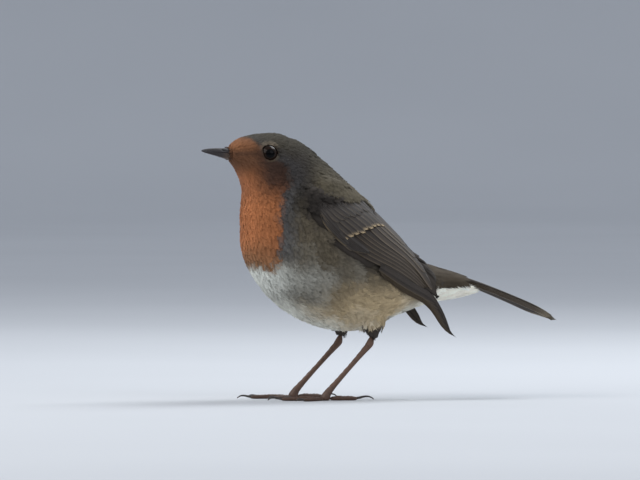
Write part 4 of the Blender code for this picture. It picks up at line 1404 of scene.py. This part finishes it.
def scattered(skin, wings):
    """The feathers spread over the skin, as arrays with a row for each."""
    middles = skin.verts[skin.faces].mean(axis=1)
    kinds = skin.kinds[skin.faces[:, 0]]
    _, base, _, _ = bill_frame()
    # None grow under the ruff of the bill, nor under the coverts of the tail.
    hidden = np.linalg.norm(middles - base, axis=1) < 2.0
    hidden |= middles[:, 1] > np.where(middles[:, 2] > 43, 17.5, 14)
    for side, sign in SIDES.items():
        ours = np.isin(kinds, ("wing_coverts", *UNDER_QUILLS)) & (middles[:, 0] * sign > 0)
        s, b = wings[side].locate(middles[ours])
        hidden[ours] |= (s > bar(b) - GREATER_COVERTS) & ~((b > 0.90) & (kinds[ours] != "wing_coverts"))
    spacing = np.where(hidden, 0, by_region(middles, kinds, SPACING))
    roots, normals, face = scatter(skin.verts, skin.faces, spacing)
    kinds = kinds[face]
    rise = skin.depth[skin.faces[face]].mean(axis=1)
    for kind, more in OVER_BLADES.items():
        rise = rise + np.where(kinds == kind, more, 0.0)
    ways, pointing = skin.lie_on(face, normals)

    low = smooth(30, 26, roots[:, 2]) * smooth(6.5, 9, np.abs(roots[:, 0])) * (kinds == "body")
    lengths = blend(by_region(roots, kinds, LENGTHS), 3.0, low)
    lengths = lengths * (1 + 0.14 * rng.uniform(-1, 1, len(roots)))
    stay, lengths = clear_of_eyes(roots, lengths, ways)
    stay &= np.sum(pointing * normals, axis=1) < 0.75  # none on ends that face the way the feathers point
    wing = skin.wing[skin.faces[face]].mean(axis=1)
    roots, normals, ways, lengths, rise, kinds, wing = (
        a[stay] for a in (roots, normals, ways, lengths, rise, kinds, wing)
    )

    shown = roots + normals * rise[:, None] + ways * (0.65 * lengths)[:, None]
    colours, orange, brown = plumage(shown)
    colours = blend(colours, WING_DARK * 1.05 * shoulder_shade(shown), wing)
    for side in SIDES:
        low, high = node_box("tarsus_" + side)
        heel = np.array([(low[0] + high[0]) / 2, high[1] - 0.5])
        near = smooth(4.4, 3.2, np.linalg.norm(shown[:, :2] - heel, axis=1)) * smooth(25.8, 24.4, shown[:, 2])
        colours = mix(colours, THIGH * 0.8, near)
    body, neat = kinds == "body", np.isin(kinds, ("wing_coverts", "scapulars"))
    return {
        **dict(zip(SHAFT_PARTS, skin.shafts(roots, normals, ways, lengths, rise))),
        "widths": by_region(roots, kinds, WIDTHS),
        "colours": colours,
        "groups": np.where(body & (orange > 0.5), "orange", np.where(~body | (brown > 0.5), "brown", "pale")),
        "forms": np.where(lengths < 2.0, "small", np.where(neat, "neat", "soft")),
    }


def tail_rows(outline, rows, group):
    """The long feathers round the tail's root, as arrays with a row for each."""
    shafts, widths = tail_coverts(outline, rows, *TAIL_COVERTS)
    shown = shafts[0][:, 2]
    x, y, z = shown.T
    own, wide = (UPPER_TAIL, 1.0) if group == "brown" else (UNDERTAIL, smooth(12, 8, np.abs(x)))
    colours = mix(plumage(shown)[0], own, smooth(12, 17, y) * wide)
    above = smooth(37.8, 38.8, z) * smooth(27, 24, y) * smooth(12, 16, y)
    return {
        **dict(zip(SHAFT_PARTS, shafts)),
        "widths": widths,
        "colours": mix(colours, UPPER_TAIL, above),
        "groups": np.full(len(widths), group),
        "forms": np.full(len(widths), "neat"),
    }


def make_coat(skin, wings, quills, material):
    """Contour feathers all over the skin, sorted into orange, brown and pale pieces."""
    parts = [scattered(skin, wings)]
    parts.append(tail_rows(UNDER_TAIL, np.arange(5, 30.1, 2.6), "pale"))
    parts.append(tail_rows(OVER_TAIL, np.arange(11, 25.1, 2.3), "brown"))
    coat = {label: np.concatenate([part[label] for part in parts]) for label in parts[0]}
    coat["colours"] *= np.clip(1 + 0.06 * rng.normal(0, 1, (len(coat["colours"]), 1)), 0.8, 1.25)
    clear = ~pierced(quills, [coat[part] for part in SHAFT_PARTS], coat["widths"])
    coat = {label: values[clear] for label, values in coat.items()}
    bake = unwrap(coat["places"][:, 0])
    forms = {
        "soft": [feather_form(13, 0.42, seed) for seed in range(5)],
        "neat": [feather_form(10, 0.25, seed) for seed in range(4)],
        "small": [feather_form(6, 0.6, seed) for seed in range(4)],
    }
    for group in ("orange", "brown", "pale"):
        number, pile, triangles = 1, Pile(), 0
        if group == "orange":
            make_ruff(skin, pile)
        members = np.flatnonzero(coat["groups"] == group)
        members = members[np.argsort(bake[members, 1])]
        for start in range(0, len(members), BATCH):
            batch = members[start : start + BATCH]
            for label, styles in forms.items():
                these = batch[coat["forms"][batch] == label]
                for k, form in enumerate(styles):
                    own = these[k :: len(styles)]
                    if len(own):
                        shafts, widths = [coat[part][own] for part in SHAFT_PARTS], coat["widths"][own]
                        grow(pile, form, shafts, widths, coat["colours"][own], (0.84, 1.03), bake[own])
                        triangles += len(own) * len(form[1])
            if triangles > FULL_PILE or start + BATCH >= len(members):
                replaced = ("scapulars_l", "scapulars_r") if (group, number) == ("brown", 1) else ()
                pile.build(f"coat_{group}_{number}", material, group + "_feathers", replaced)
                number, pile, triangles = number + 1, Pile(), 0


def main():
    target, across, back = photo_view()
    make_stage(target, across, back)
    feathers = {"grains": ((260.0, 3.0, 1.0, 0.86), (1500.0, 2.0, 0.35, 0.88)), "Sheen_Roughness": 0.5}
    coat = tinted_material("contour_feathers", 0.8, **feathers, Sheen_Weight=0.04, Specular_IOR_Level=0.12)
    down = tinted_material("skin_and_down", 0.95, **feathers, Sheen_Weight=0.0, Specular_IOR_Level=0.12)
    quill = quill_material()
    horn = ((420.0, 4.0, 1.0, 0.75),)
    bill = tinted_material("bill_horn", 0.42, horn, (2200.0, 0.2), Specular_IOR_Level=0.35)
    claw = tinted_material("claw_horn", 0.4, ((700.0, 4.0, 1.0, 0.7),), (2600.0, 0.2))
    leg = tinted_material("leg_skin", 0.5, ((900.0, 4.0, 1.0, 0.7),), (3500.0, 0.4), Specular_IOR_Level=0.4)
    eye = tinted_material("eye", 0.03, ((1800.0, 4.0, 1.0, 0.6),), Specular_IOR_Level=0.09)
    skin = make_skin(down)
    wings = {side: wing_chart(side) for side in SIDES}
    quills = make_tail(quill)
    for side in SIDES:
        quills += make_wing(side, wings[side], quill)
    make_coat(skin, wings, quills, coat)
    make_eyes(eye, down)
    make_bill(bill)
    make_bristles(skin, down)
    make_legs(leg, claw)


main()
